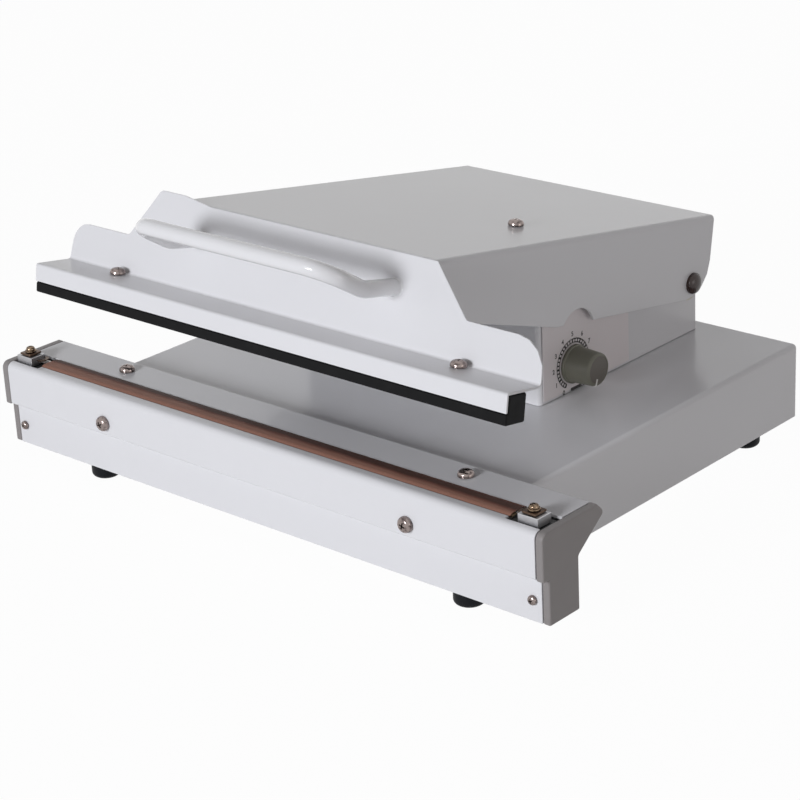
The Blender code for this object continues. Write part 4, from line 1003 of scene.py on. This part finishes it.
@dataclass
class SealingBar:
    """What lies along the top of the bar: the cloth and the two terminals."""

    shop: Workshop
    cloth_columns: int = 260
    cloth_rows: int = 16
    cloth_thickness: float = 0.18 * MM
    cloth_colour: Colour = (0.36, 0.185, 0.135)
    cloth_roughness: float = 0.50
    span: float = 11.3 * MM
    slope: float = 2.0 * MM
    drop: float = 0.75 * MM
    roundness: float = 1.6
    crease: float = 0.021 * MM
    creases: float = 26.0
    ripple: float = 0.07 * MM
    ripple_floor: float = 0.5
    ripple_swing: float = 0.3
    edge_ripple: float = 0.65
    waves: Place = (210.0, 3.0, 1.0)
    wavelets: Place = (523.0, -5.0, 0.6)
    block_rim: float = 0.3 * MM
    washer_rim: float = 0.21 * MM
    eyelet_outer: float = 3.3 * MM
    eyelet_inner: float = 1.7 * MM
    eyelet_thick: float = 0.5 * MM
    eyelet_sunk: float = 2.2 * MM
    eyelet_forward: float = 2.6 * MM
    eyelet_out: float = 0.6 * MM
    eyelet_clear: float = 0.3 * MM

    def build(self) -> None:
        """Build the cloth, then dress both ends."""
        self.cloth()
        for sign, side in zip((-1, 1), SIDES):
            self.terminal(sign, side)
        self.shop.coat("heating_element", ALLOY)
        self.shop.coat("insulating_strip", TAN_CLOTH)
        self.shop.coat("sealing_bar_core", ALUMINIUM)
        for side in SIDES:
            self.shop.coat(f"core_bracket_{side}", ZINC)

    def height(self, share: float, along: float) -> float:
        """Give the cloth's height over its crown.

        Args:
            share: How far across the cloth the point lies, from 0 to 1.
            along: How far along the bar it lies, from -0.5 to 0.5.

        Returns:
            The height, which is never above zero.
        """
        edge = min(share, 1.0 - share) * self.span
        fall = self.drop * max(0.0, 1.0 - edge / self.slope) ** self.roundness
        crease = self.crease * math.cos((share - 0.5) * self.creases)
        swing = sum(part * math.sin(along * rate + share * lean)
                    for rate, lean, part in (self.waves, self.wavelets))
        calm = 1.0 - self.edge_ripple + self.edge_ripple * abs(share - 0.5)
        return -fall - crease - self.ripple * (self.ripple_floor + self.ripple_swing * swing) * calm

    def cloth(self) -> None:
        """Lay the coated cloth over the element as a thin rippled sheet."""
        low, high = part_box("glass_cloth_strip")
        size = high - low
        bm = bmesh.new()
        bmesh.ops.create_grid(bm, x_segments=self.cloth_columns, y_segments=self.cloth_rows,
                              size=0.5)
        for vert in bm.verts:
            along, share = vert.co.x, vert.co.y + 0.5
            drop = self.height(share, along)
            vert.co = Vector((low.x + (along + 0.5) * size.x, low.y + share * size.y,
                              high.z + drop))
        finish = GlassCloth("glass_cloth", self.cloth_colour, self.cloth_roughness,
                            middle=(low.y + high.y) / 2, width=size.y)
        bmesh.ops.recalc_face_normals(bm, faces=bm.faces)
        area = sum(face.calc_area() for face in bm.faces)
        bmesh.ops.solidify(bm, geom=bm.faces[:], thickness=self.cloth_thickness)
        cloth = self.shop.piece("glass_cloth_sheet", bm, finish, "base", "glass_cloth",
                                ("glass_cloth_strip",))
        area / size.x
        LOG.info("laid the glass cloth")

    def terminal(self, sign: int, side: str) -> None:
        """Dress one terminal.

        Args:
            sign: -1 on the left and 1 on the right.
            side: The side's name.
        """
        self.shop.dress(f"terminal_insulator_{side}", BLACK_PLASTIC, "black_plastic",
                        self.block_rim)
        self.shop.dress(f"terminal_block_{side}", ALUMINIUM, "aluminium", self.block_rim)
        self.shop.dress(f"terminal_washer_{side}", DARK_BRASS, "brass", self.washer_rim)
        self.eyelet(sign, side)
        LOG.info("dressed the %s terminal", side)

    def eyelet(self, sign: int, side: str) -> None:
        """Add the ring at the element's end, between the block and the cloth.

        Args:
            sign: -1 on the left and 1 on the right.
            side: The side's name.
        """
        low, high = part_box(f"terminal_block_{side}")
        inner = low.x if sign > 0 else high.x
        centre = Vector((inner - sign * self.eyelet_out, high.y - self.eyelet_forward,
                         high.z - self.eyelet_sunk))
        profile = [(self.eyelet_inner, 0.0), (self.eyelet_outer, 0.0),
                   (self.eyelet_outer, self.eyelet_thick), (self.eyelet_inner, self.eyelet_thick),
                   (self.eyelet_inner, 0.0)]
        ring = Shapes.aimed(Shapes.turned(profile, 36), Axis.UP.value, centre)
        keep = inner - sign * self.eyelet_clear
        cut = bmesh.ops.bisect_plane(ring, geom=ring.verts[:] + ring.edges[:] + ring.faces[:],
                                     plane_co=(keep, 0, 0), plane_no=(sign, 0, 0),
                                     clear_outer=True)
        rim = [part for part in cut["geom_cut"] if isinstance(part, bmesh.types.BMEdge)]
        bmesh.ops.holes_fill(ring, edges=rim)
        self.shop.piece(f"element_eyelet_{side}", ring, DARK_BRASS, "base", "brass")


@dataclass
class Jaw:
    """The pressing rubber, its rail and the bent handle on the front plate."""

    shop: Workshop
    ledge_rear: float = 25.6 * MM - MIDDLE_Y
    ledge_top: float = 70.0 * MM
    lean: float = math.radians(12.2)
    seat: float = 25.4 * MM
    half: float = 61.5 * MM
    radius: float = 4.0 * MM
    start: float = 0.05 * MM
    foot: float = 2.5 * MM
    knee: float = 21.0 * MM
    dip: float = 3.0 * MM
    standoff: float = 47.6 * MM
    lift: float = 2.4 * MM
    knee_bend: float = 18.0 * MM
    bend: float = 14.0 * MM
    tube_sides: int = 40
    collar: float = 0.9 * MM
    collar_steps: int = 6
    collar_seat: float = 0.1 * MM
    collar_inner: float = 3.6 * MM
    rubber_rim: float = 0.9 * MM
    carrier_rim: float = 0.25 * MM

    def build(self) -> None:
        """Build the rubber, the rail and the handle."""
        self.shop.dress("pressing_rubber", RUBBER, "black_rubber", self.rubber_rim)
        self.shop.dress("rubber_carrier", ZINC, "zinc_steel", self.carrier_rim)
        self.handle()
        for side in SIDES:
            self.shop.coat(f"handle_screw_{side}", ZINC)
        self.shop.coat("switch_striker", ZINC)

    def on_plate(self, x: float, off: float, lift: float = 0.0) -> Vector:
        """Give a point off the shut front plate.

        Args:
            x: Its place along the bar.
            off: How far it stands off the plate.
            lift: How far it lies up the plate from the handle's feet.

        Returns:
            The point.
        """
        rise = self.seat + lift
        slant, upright = math.sin(self.lean), math.cos(self.lean)
        return Vector((x, self.ledge_rear + rise * slant - off * upright,
                       self.ledge_top + rise * upright + off * slant))

    def handle_line(self) -> list[Vector]:
        """List the middle line of the bent tube.

        Returns:
            Its points, from the left foot to the right one.
        """
        leg = [(self.start, 0.0), (self.foot, 0.0), (self.knee, -self.dip),
               (self.standoff, self.lift)]
        corners = [self.on_plate(-self.half, off, lift) for off, lift in leg]
        corners += [self.on_plate(self.half, off, lift) for off, lift in reversed(leg)]
        bends = [0.0, self.bend, self.knee_bend, self.bend]
        return Shapes.bent(corners, bends + bends[::-1])

    def handle(self) -> None:
        """Sweep the tube and add a rounded fillet where each leg meets the plate."""
        turn = self.shop.lid_turn()
        parts = [Shapes.tube(self.handle_line(), self.radius, self.tube_sides)]
        normal = (self.on_plate(0.0, 1.0) - self.on_plate(0.0, 0.0)).normalized()
        reach = self.radius + self.collar
        profile = [(self.collar_inner, self.collar_seat)]
        for step in range(self.collar_steps + 1):
            sweep = math.radians(90.0) * step / self.collar_steps
            profile.append((reach - self.collar * math.sin(sweep),
                            self.collar_seat + self.collar * (1.0 - math.cos(sweep))))
        profile += [(self.collar_inner, self.collar), (self.collar_inner, self.collar_seat)]
        for sign in (-1, 1):
            foot = self.on_plate(sign * self.half, 0.0)
            parts.append(Shapes.aimed(Shapes.turned(profile, self.tube_sides), normal, foot))
        bm = Shapes.joined(parts)
        bmesh.ops.transform(bm, matrix=turn, verts=bm.verts)
        self.shop.piece("bent_handle", bm, PAINT_TUBE, "lid", "white_paint", ("handle",))
        LOG.info("bent the handle")


@dataclass
class Timer:
    """The knob, its pointer and what is printed on the dial."""

    shop: Workshop
    foil_rim: float = 0.1 * MM
    bore: float = 3.3 * MM
    face_share: float = 0.845
    skirt: Profile = ((0.5, 0.0), (0.1, 0.15), (0.0, 0.5), (0.0, 1.25), (0.18, 1.55),
                      (0.75, 1.75), (0.8, 2.1))
    crown: Profile = ((-0.1, 1.6), (0.05, 0.9), (0.55, 0.25), (1.0, 0.05), (1.25, 0.05),
                      (1.4, 0.35))
    face_sunk: float = 0.35 * MM
    disc_inset: float = 1.38 * MM
    disc_bevel_inset: float = 1.6 * MM
    disc_wall: float = 0.42 * MM
    disc_height: float = 0.5 * MM
    disc_seat: float = 0.6 * MM
    pointer_angle: float = math.radians(252)
    pointer_width: float = 0.95 * MM
    pointer_rim: float = 0.12 * MM
    pointer_thick: float = 0.35 * MM
    pointer_length: float = 3.4 * MM
    pointer_sunk: float = 0.06 * MM
    pointer_inset: float = 2.0 * MM
    edge_length: float = 2.6 * MM
    edge_thick: float = 0.5 * MM
    edge_back: float = 1.75 * MM
    edge_sunk: float = 0.17 * MM
    zero_angle: float = 240.0
    step_angle: float = 30.0
    numbers: int = 11
    ticks_each: int = 3
    ring_inner: float = 10.6 * MM
    ring_outer: float = 12.4 * MM
    ring_steps: int = 72
    line: float = 0.60 * MM
    major: float = 1.8
    minor: float = 1.2
    number_radius: float = 15.0 * MM
    number_size: float = 3.3 * MM
    number_weight: float = 0.08 * MM
    ink: float = 0.05 * MM
    bar_length: float = 8.0 * MM
    bar_width: float = 1.5 * MM
    bar_drop: float = 13.0 * MM
    bar_shift: float = 2.0 * MM
    bar_rim: float = 0.02 * MM

    def build(self) -> None:
        """Build the knob, the foil and its print."""
        self.shop.dress("dial_plate", FOIL, "dial_foil", self.foil_rim, 2)
        self.knob()
        self.scale()
        self.figures()
        self.inside()

    def centre(self) -> Vector:
        """Give the knob's axis where it meets the foil.

        Returns:
            The point.
        """
        spot = Vector(self.shop.joint("knob_turn")["pos_m"])
        spot.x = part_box("dial_plate")[1].x
        return spot

    def on_foil(self, bm: bmesh.types.BMesh) -> bmesh.types.BMesh:
        """Carry a print onto the foil.

        Args:
            bm: The print, drawn in X and Y and seen from above.

        Returns:
            The same print.
        """
        turn = Matrix(((0, 0, 1, 0), (1, 0, 0, 0), (0, 1, 0, 0), (0, 0, 0, 1)))
        place = Matrix.Translation(self.centre()) @ turn
        bmesh.ops.transform(bm, matrix=place, verts=bm.verts)
        return bm

    def knob(self) -> None:
        """Turn the knob with its skirt, chamfer and recessed face."""
        low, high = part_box("time_knob")
        length, base = high.x - low.x, (high.y - low.y) / 2
        face = base * self.face_share
        centre = Vector((low.x, self.centre().y, self.centre().z))
        body = [(self.bore, 0.0)]
        body += [(base - inset * MM, up * MM) for inset, up in self.skirt]
        body += [(face - inset * MM, length - down * MM) for inset, down in self.crown]
        body += [(self.bore, length - self.face_sunk), (self.bore, 0.0)]
        bm = Shapes.aimed(Shapes.turned(body, steps=72), Axis.ACROSS.value, centre)
        self.shop.piece("knob_body", bm, KNOB_PLASTIC, "knob", "knob_plastic", ("time_knob",))
        rim = face - self.disc_inset
        disc = [(0.0, 0.0), (rim, 0.0), (rim, self.disc_wall),
                (face - self.disc_bevel_inset, self.disc_height), (0.0, self.disc_height)]
        spot = centre + Axis.ACROSS.value * (length - self.disc_seat)
        bm = Shapes.aimed(Shapes.turned(disc, steps=64), Axis.ACROSS.value, spot)
        self.shop.piece("knob_face", bm, KNOB_FACE, "knob", "knob_plastic")
        self.pointer(centre, face, length)
        self.shop.coat("timer_shaft", BRASS)
        LOG.info("turned the knob")

    def pointer(self, centre: Vector, face: float, length: float) -> None:
        """Inlay the pointer across the face's edge.

        Args:
            centre: The middle of the knob's foot.
            face: The radius of its face.
            length: How far it stands out.
        """
        size = Vector((self.pointer_thick, self.pointer_length, self.pointer_width))
        spot = Vector((length - self.pointer_sunk, face - self.pointer_inset, 0.0))
        on_face = Shapes.slab(size, spot, self.pointer_rim)
        size = Vector((self.edge_length, self.edge_thick, self.pointer_width))
        spot = Vector((length - self.edge_back, face - self.edge_sunk, 0.0))
        bm = Shapes.joined([on_face, Shapes.slab(size, spot, self.pointer_rim)])
        place = Matrix.Translation(centre) @ Matrix.Rotation(self.pointer_angle, 4, "X")
        bmesh.ops.transform(bm, matrix=place, verts=bm.verts)
        self.shop.piece("knob_pointer", bm, POINTER_PAINT, "knob", "knob_plastic")

    def arc(self, radius: float, start: float, stop: float) -> bmesh.types.BMesh:
        """Spin a thin printed line through part of a ring.

        Args:
            radius: The ring's radius.
            start: Where it starts, in degrees.
            stop: Where it stops, in degrees.

        Returns:
            The printed line.
        """
        bm = bmesh.new()
        ends = [bm.verts.new((radius + side * self.line / 2, 0.0, 0.0)) for side in (-1, 1)]
        edge = bm.edges.new(ends)
        turn = Matrix.Rotation(math.radians(start), 3, "Z")
        bmesh.ops.rotate(bm, cent=(0, 0, 0), matrix=turn, verts=bm.verts)
        bmesh.ops.spin(bm, geom=ends + [edge], cent=(0, 0, 0), axis=(0, 0, 1),
                       angle=math.radians(stop - start), steps=self.ring_steps, use_merge=False)
        bmesh.ops.solidify(bm, geom=bm.faces[:], thickness=self.ink)
        return bm

    def scale(self) -> None:
        """Print the two arcs, the ticks between them and the bar below."""
        last = self.zero_angle - self.step_angle * (self.numbers - 1)
        parts = [self.arc(radius, last, self.zero_angle)
                 for radius in (self.ring_inner, self.ring_outer)]
        spot = Vector(((self.ring_outer + self.ring_inner) / 2, 0.0, 0.0))
        for index in range((self.numbers - 1) * self.ticks_each + 1):
            turn = math.radians(self.zero_angle - self.step_angle * index / self.ticks_each)
            wide = self.line * (self.minor if index % self.ticks_each else self.major)
            tick = Shapes.slab(Vector((self.ring_outer - self.ring_inner, wide, self.ink)), spot)
            bmesh.ops.rotate(tick, cent=(0, 0, 0), matrix=Matrix.Rotation(turn, 3, "Z"),
                             verts=tick.verts)
            parts.append(tick)
        parts.append(Shapes.slab(Vector((self.bar_length, self.bar_width, self.ink)),
                                 Vector((self.bar_shift, -self.bar_drop, 0.0)), self.bar_rim, 1))
        self.shop.piece("dial_scale", self.on_foil(Shapes.joined(parts)), INK, "base", "dial_foil")
        LOG.info("printed the scale")

    def figures(self) -> None:
        """Print the numbers around the scale."""
        parts = []
        for index in range(self.numbers):
            text = bpy.data.curves.new("figure", "FONT")
            text.body = str(index)
            text.size = self.number_size
            text.align_x = "CENTER"
            text.align_y = "CENTER"
            text.extrude = self.ink / 2
            text.offset = self.number_weight
            holder = bpy.data.objects.new("figure", text)
            bpy.context.scene.collection.objects.link(holder)
            bpy.context.view_layer.update()
            graph = bpy.context.evaluated_depsgraph_get()
            mesh = bpy.data.meshes.new_from_object(holder.evaluated_get(graph))
            bm = bmesh.new()
            bm.from_mesh(mesh)
            turn = math.radians(self.zero_angle - self.step_angle * index)
            spot = Vector((math.cos(turn), math.sin(turn), 0.0)) * self.number_radius
            bmesh.ops.translate(bm, vec=spot, verts=bm.verts)
            parts.append(bm)
            bpy.data.objects.remove(holder, do_unlink=True)
            bpy.data.meshes.remove(mesh)
        figures = self.on_foil(Shapes.joined(parts))
        self.shop.piece("dial_figures", figures, INK, "base", "dial_foil")
        LOG.info("printed the figures")

    def inside(self) -> None:
        """Finish what the housing hides."""
        finishes = {"potentiometer": ZINC, "timer_board": BOARD, "microswitch_body": BLACK_PLASTIC,
                    "switch_plunger": NYLON, "transformer_core": CORE_STEEL,
                    "transformer_coil": WINDING, "hinge_shaft": ZINC}
        for node, finish in finishes.items():
            self.shop.coat(node, finish)


@dataclass
class Hardware:
    """Feet, pivot caps, bushes, springs, bottom plate and mains inlet."""

    shop: Workshop
    plate_rim: float = 0.3 * MM
    foot_hole: float = 2.6 * MM
    foot_depth: float = 1.6 * MM
    foot_lip: float = 0.3 * MM
    foot_sole: float = 0.55
    foot_round: float = 2.6 * MM
    foot_steps: int = 8
    foot_shoulder: float = 0.93
    foot_top: float = 0.97
    cap_sunk: float = 0.2 * MM
    cap_wall: float = 0.22
    cap_steps: int = 9
    wire: float = 0.8 * MM
    wire_sides: int = 12
    turns: int = 5
    turn_points: int = 24
    squeezed: float = 0.57
    inlet_rim: float = 0.35 * MM
    pin: Place = (2.0 * MM, 11.0 * MM, 4.0 * MM)
    pin_cover: float = 0.06 * MM
    pin_pitch: float = 7.0 * MM
    pin_rise: float = 2.0 * MM
    pin_root: float = 15.0 * MM
    pin_rim: float = 0.3 * MM

    def build(self) -> None:
        """Build them all."""
        for side in SIDES:
            for row in ("front", "rear"):
                self.foot(f"foot_{row}_{side}")
            self.pivot_cap(side)
            self.spring(side)
            self.shop.coat(f"hinge_bush_{side}", NYLON)
        self.shop.dress("bottom_plate", ZINC, "zinc_steel", self.plate_rim)
        self.inlet()

    def foot(self, node: str) -> None:
        """Turn a rubber foot with a screw hole in its sole.

        Args:
            node: The foot's CAD node.
        """
        low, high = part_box(node)
        radius, height = (high.x - low.x) / 2, high.z - low.z
        centre = Vector(((low.x + high.x) / 2, (low.y + high.y) / 2, low.z))
        hole = self.foot_hole
        profile = [(0.0, self.foot_depth), (hole, self.foot_depth), (hole, self.foot_lip),
                   (hole + self.foot_lip, 0.0)]
        for step in range(self.foot_steps + 1):
            turn = math.radians(90.0 * step / self.foot_steps)
            out = self.foot_sole + (1.0 - self.foot_sole) * math.sin(turn)
            profile.append((radius * out, self.foot_round * (1.0 - math.cos(turn))))
        profile += [(radius, height * self.foot_shoulder), (radius * self.foot_top, height),
                    (0.0, height)]
        bm = Shapes.aimed(Shapes.turned(profile, steps=56), Axis.UP.value, centre)
        self.shop.piece(f"{node}_dome", bm, FOOT_RUBBER, "base", "black_rubber", (node,))
        LOG.info("turned %s", node)

    def pivot_cap(self, side: str) -> None:
        """Turn the brown snap cap over the shaft's end.

        Args:
            side: The side's name.
        """
        node = f"pivot_cap_{side}"
        low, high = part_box(node)
        sign = 1.0 if side == "right" else -1.0
        radius, height = (high.y - low.y) / 2, high.x - low.x
        centre = (low + high) / 2
        centre.x = low.x if sign > 0 else high.x
        profile = [(0.0, -self.cap_sunk), (radius, -self.cap_sunk),
                   (radius, height * self.cap_wall)]
        for step in range(1, self.cap_steps + 1):
            turn = math.radians(90.0 * step / self.cap_steps)
            up = self.cap_wall + (1.0 - self.cap_wall) * math.sin(turn)
            profile.append((radius * math.cos(turn), height * up))
        bm = Shapes.aimed(Shapes.turned(profile), Axis.ACROSS.value * sign, centre)
        self.shop.piece(f"{node}_dome", bm, PIVOT_PLASTIC, "lid", "brown_plastic", (node,))

    def spring(self, side: str) -> None:
        """Wind a lid spring at its CAD node's full height.

        Args:
            side: The side's name.
        """
        node = f"lid_spring_{side}"
        low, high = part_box(node)
        middle = (low + high) / 2
        radius = (high.x - low.x) / 2 - self.wire
        start, stop = low.z + self.wire, high.z - self.wire
        count = self.turns * self.turn_points
        points = []
        for index in range(count + 1):
            share = index / count
            turn = math.tau * self.turns * share
            points.append(Vector((middle.x + radius * math.cos(turn),
                                  middle.y + radius * math.sin(turn),
                                  start + (stop - start) * share)))
        bm = Shapes.tube(points, self.wire, self.wire_sides)
        coil = self.shop.piece(f"{node}_coil", bm, ZINC, "base", "zinc_steel", (node,))
        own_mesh(coil)
        LOG.info("wound %s", node)

    def inlet(self) -> None:
        """Dress the mains inlet and plate its three pins."""
        self.shop.dress("mains_inlet", BLACK_PLASTIC, "black_plastic", self.inlet_rim)
        low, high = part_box("mains_inlet")
        middle = (low + high) / 2
        cover = 2 * self.pin_cover
        size = Vector((self.pin[0] + cover, self.pin[1], self.pin[2] + cover))
        depth = high.y - self.pin_root + size.y / 2 + self.pin_cover
        for name, column, row in (("left", -1, -1), ("middle", 0, 1), ("right", 1, -1)):
            spot = Vector((middle.x + column * self.pin_pitch, depth,
                           middle.z + row * self.pin_rise))
            self.shop.piece(f"inlet_pin_{name}", Shapes.slab(size, spot, self.pin_rim), BRASS,
                            "base", "brass")
        LOG.info("dressed the inlet")


@dataclass(frozen=True)
class Lamp:
    """A rectangular area lamp that faces the object."""

    name: str
    place: Place
    size: tuple[float, float]
    power: float
    colour: Colour
    target: Place = (0.0, 0.0, 0.07)

    def hang(self) -> None:
        """Hang the lamp in the scene."""
        data = bpy.data.lights.new(self.name, "AREA")
        data.shape = "RECTANGLE"
        data.size, data.size_y = self.size
        data.energy = self.power
        data.color = self.colour
        lamp = bpy.data.objects.new(self.name, data)
        lamp.location = self.place
        aim = Vector(self.target) - Vector(self.place)
        lamp.rotation_euler = aim.to_track_quat("-Z", "Y").to_euler()
        bpy.context.scene.collection.objects.link(lamp)


@dataclass
class Studio:
    """The floor, the light and the camera."""

    ambient: float = 0.20
    ambient_colour: Colour = (1.0, 0.97, 0.985)
    floor_half: float = 6.0
    floor_share: float = 0.97
    floor_colour: Colour = (0.82, 0.82, 0.82)
    floor_roughness: float = 0.9
    key: Lamp = Lamp("key_light", (0.05, -2.2, 0.72), (0.6, 0.5), 31.5, (0.94, 0.955, 1.0))
    fill: Lamp = Lamp("warm_fill", (2.4, 0.1, 0.35), (1.2, 0.9), 5.0, (1.0, 0.95, 0.93))
    focal: float = 2351.28
    sensor: float = 36.0
    picture: float = 800.0
    spot: Place = (0.7315, -0.8146, 0.4757)
    yaw: float = math.radians(42.696)
    pitch: float = math.radians(22.077)
    roll: float = math.radians(-2.953)
    clip_start: float = 0.05

    def build(self) -> None:
        """Build the set."""
        self.world()
        self.floor()
        self.key.hang()
        self.fill.hang()
        self.camera()
        bpy.context.scene.view_settings.view_transform = "Standard"

    @staticmethod
    def seen_directly(tree: bpy.types.NodeTree) -> bpy.types.NodeSocket:
        """Give 1 for camera, glossy and transmission rays.

        Args:
            tree: The nodes that it is added to.

        Returns:
            The socket that gives it.
        """
        path = tree.nodes.new("ShaderNodeLightPath")
        total = path.outputs["Is Camera Ray"]
        for name in ("Is Glossy Ray", "Is Transmission Ray"):
            adder = tree.nodes.new("ShaderNodeMath")
            adder.operation = "MAXIMUM"
            tree.links.new(total, adder.inputs[0])
            tree.links.new(path.outputs[name], adder.inputs[1])
            total = adder.outputs[0]
        return total

    def world(self) -> None:
        """Light from all round, white where it is seen."""
        world = bpy.data.worlds.new("studio")
        bpy.context.scene.world = world
        world.use_nodes = True
        tree = world.node_tree
        soft = tree.nodes["Background"]
        soft.inputs["Color"].default_value = (*self.ambient_colour, 1.0)
        soft.inputs["Strength"].default_value = self.ambient
        bright = tree.nodes.new("ShaderNodeBackground")
        bright.inputs["Color"].default_value = (1.0, 1.0, 1.0, 1.0)
        mix = tree.nodes.new("ShaderNodeMixShader")
        tree.links.new(self.seen_directly(tree), mix.inputs[0])
        tree.links.new(soft.outputs[0], mix.inputs[1])
        tree.links.new(bright.outputs[0], mix.inputs[2])
        tree.links.new(mix.outputs[0], tree.nodes["World Output"].inputs["Surface"])

    def floor(self) -> None:
        """Lay a white floor that keeps the object's shadow."""
        bm = bmesh.new()
        bmesh.ops.create_grid(bm, x_segments=1, y_segments=1, size=self.floor_half)
        mesh = bpy.data.meshes.new("floor")
        bm.to_mesh(mesh)
        bm.free()
        mesh.materials.append(self.floor_paint())
        ground = bpy.data.objects.new("floor", mesh)
        bpy.context.scene.collection.objects.link(ground)

    def floor_paint(self) -> bpy.types.Material:
        """Make the floor's white, which glows where it is seen.

        Returns:
            The material.
        """
        material = bpy.data.materials.new("white_floor")
        material.use_nodes = True
        tree = material.node_tree
        surface = tree.nodes["Principled BSDF"]
        surface.inputs["Base Color"].default_value = (*self.floor_colour, 1.0)
        surface.inputs["Roughness"].default_value = self.floor_roughness
        surface.inputs["Specular IOR Level"].default_value = 0.0
        glow = tree.nodes.new("ShaderNodeEmission")
        share = tree.nodes.new("ShaderNodeMath")
        share.operation = "MULTIPLY"
        share.inputs[1].default_value = self.floor_share
        tree.links.new(self.seen_directly(tree), share.inputs[0])
        mix = tree.nodes.new("ShaderNodeMixShader")
        tree.links.new(share.outputs[0], mix.inputs[0])
        tree.links.new(surface.outputs[0], mix.inputs[1])
        tree.links.new(glow.outputs[0], mix.inputs[2])
        tree.links.new(mix.outputs[0], tree.nodes["Material Output"].inputs["Surface"])
        return material

    def camera(self) -> None:
        """Set the camera where the photograph was taken from."""
        right = Vector((math.cos(self.yaw), math.sin(self.yaw), 0.0))
        ahead = Vector((-math.sin(self.yaw) * math.cos(self.pitch),
                        math.cos(self.yaw) * math.cos(self.pitch), -math.sin(self.pitch)))
        up = right.cross(ahead)
        across = right * math.cos(self.roll) + up * math.sin(self.roll)
        above = up * math.cos(self.roll) - right * math.sin(self.roll)
        data = bpy.data.cameras.new("camera")
        data.sensor_width = self.sensor
        data.lens = self.focal * self.sensor / self.picture
        data.clip_start = self.clip_start
        camera = bpy.data.objects.new("camera", data)
        bpy.context.scene.collection.objects.link(camera)
        place = Matrix((across, above, -ahead)).transposed().to_4x4()
        place.translation = Vector(self.spot)
        camera.matrix_world = place
        bpy.context.scene.camera = camera


def main() -> None:
    logging.basicConfig(level=logging.INFO, format="%(name)s: %(message)s")
    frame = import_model()
    shop = Workshop(frame)
    for builder in (Casework(shop), Fasteners(shop), SealingBar(shop), Jaw(shop), Timer(shop),
                    Hardware(shop), Studio()):
        builder.build()
        LOG.info("built %s", type(builder).__name__)
    bpy.context.view_layer.update()


if __name__ == "__main__":
    main()
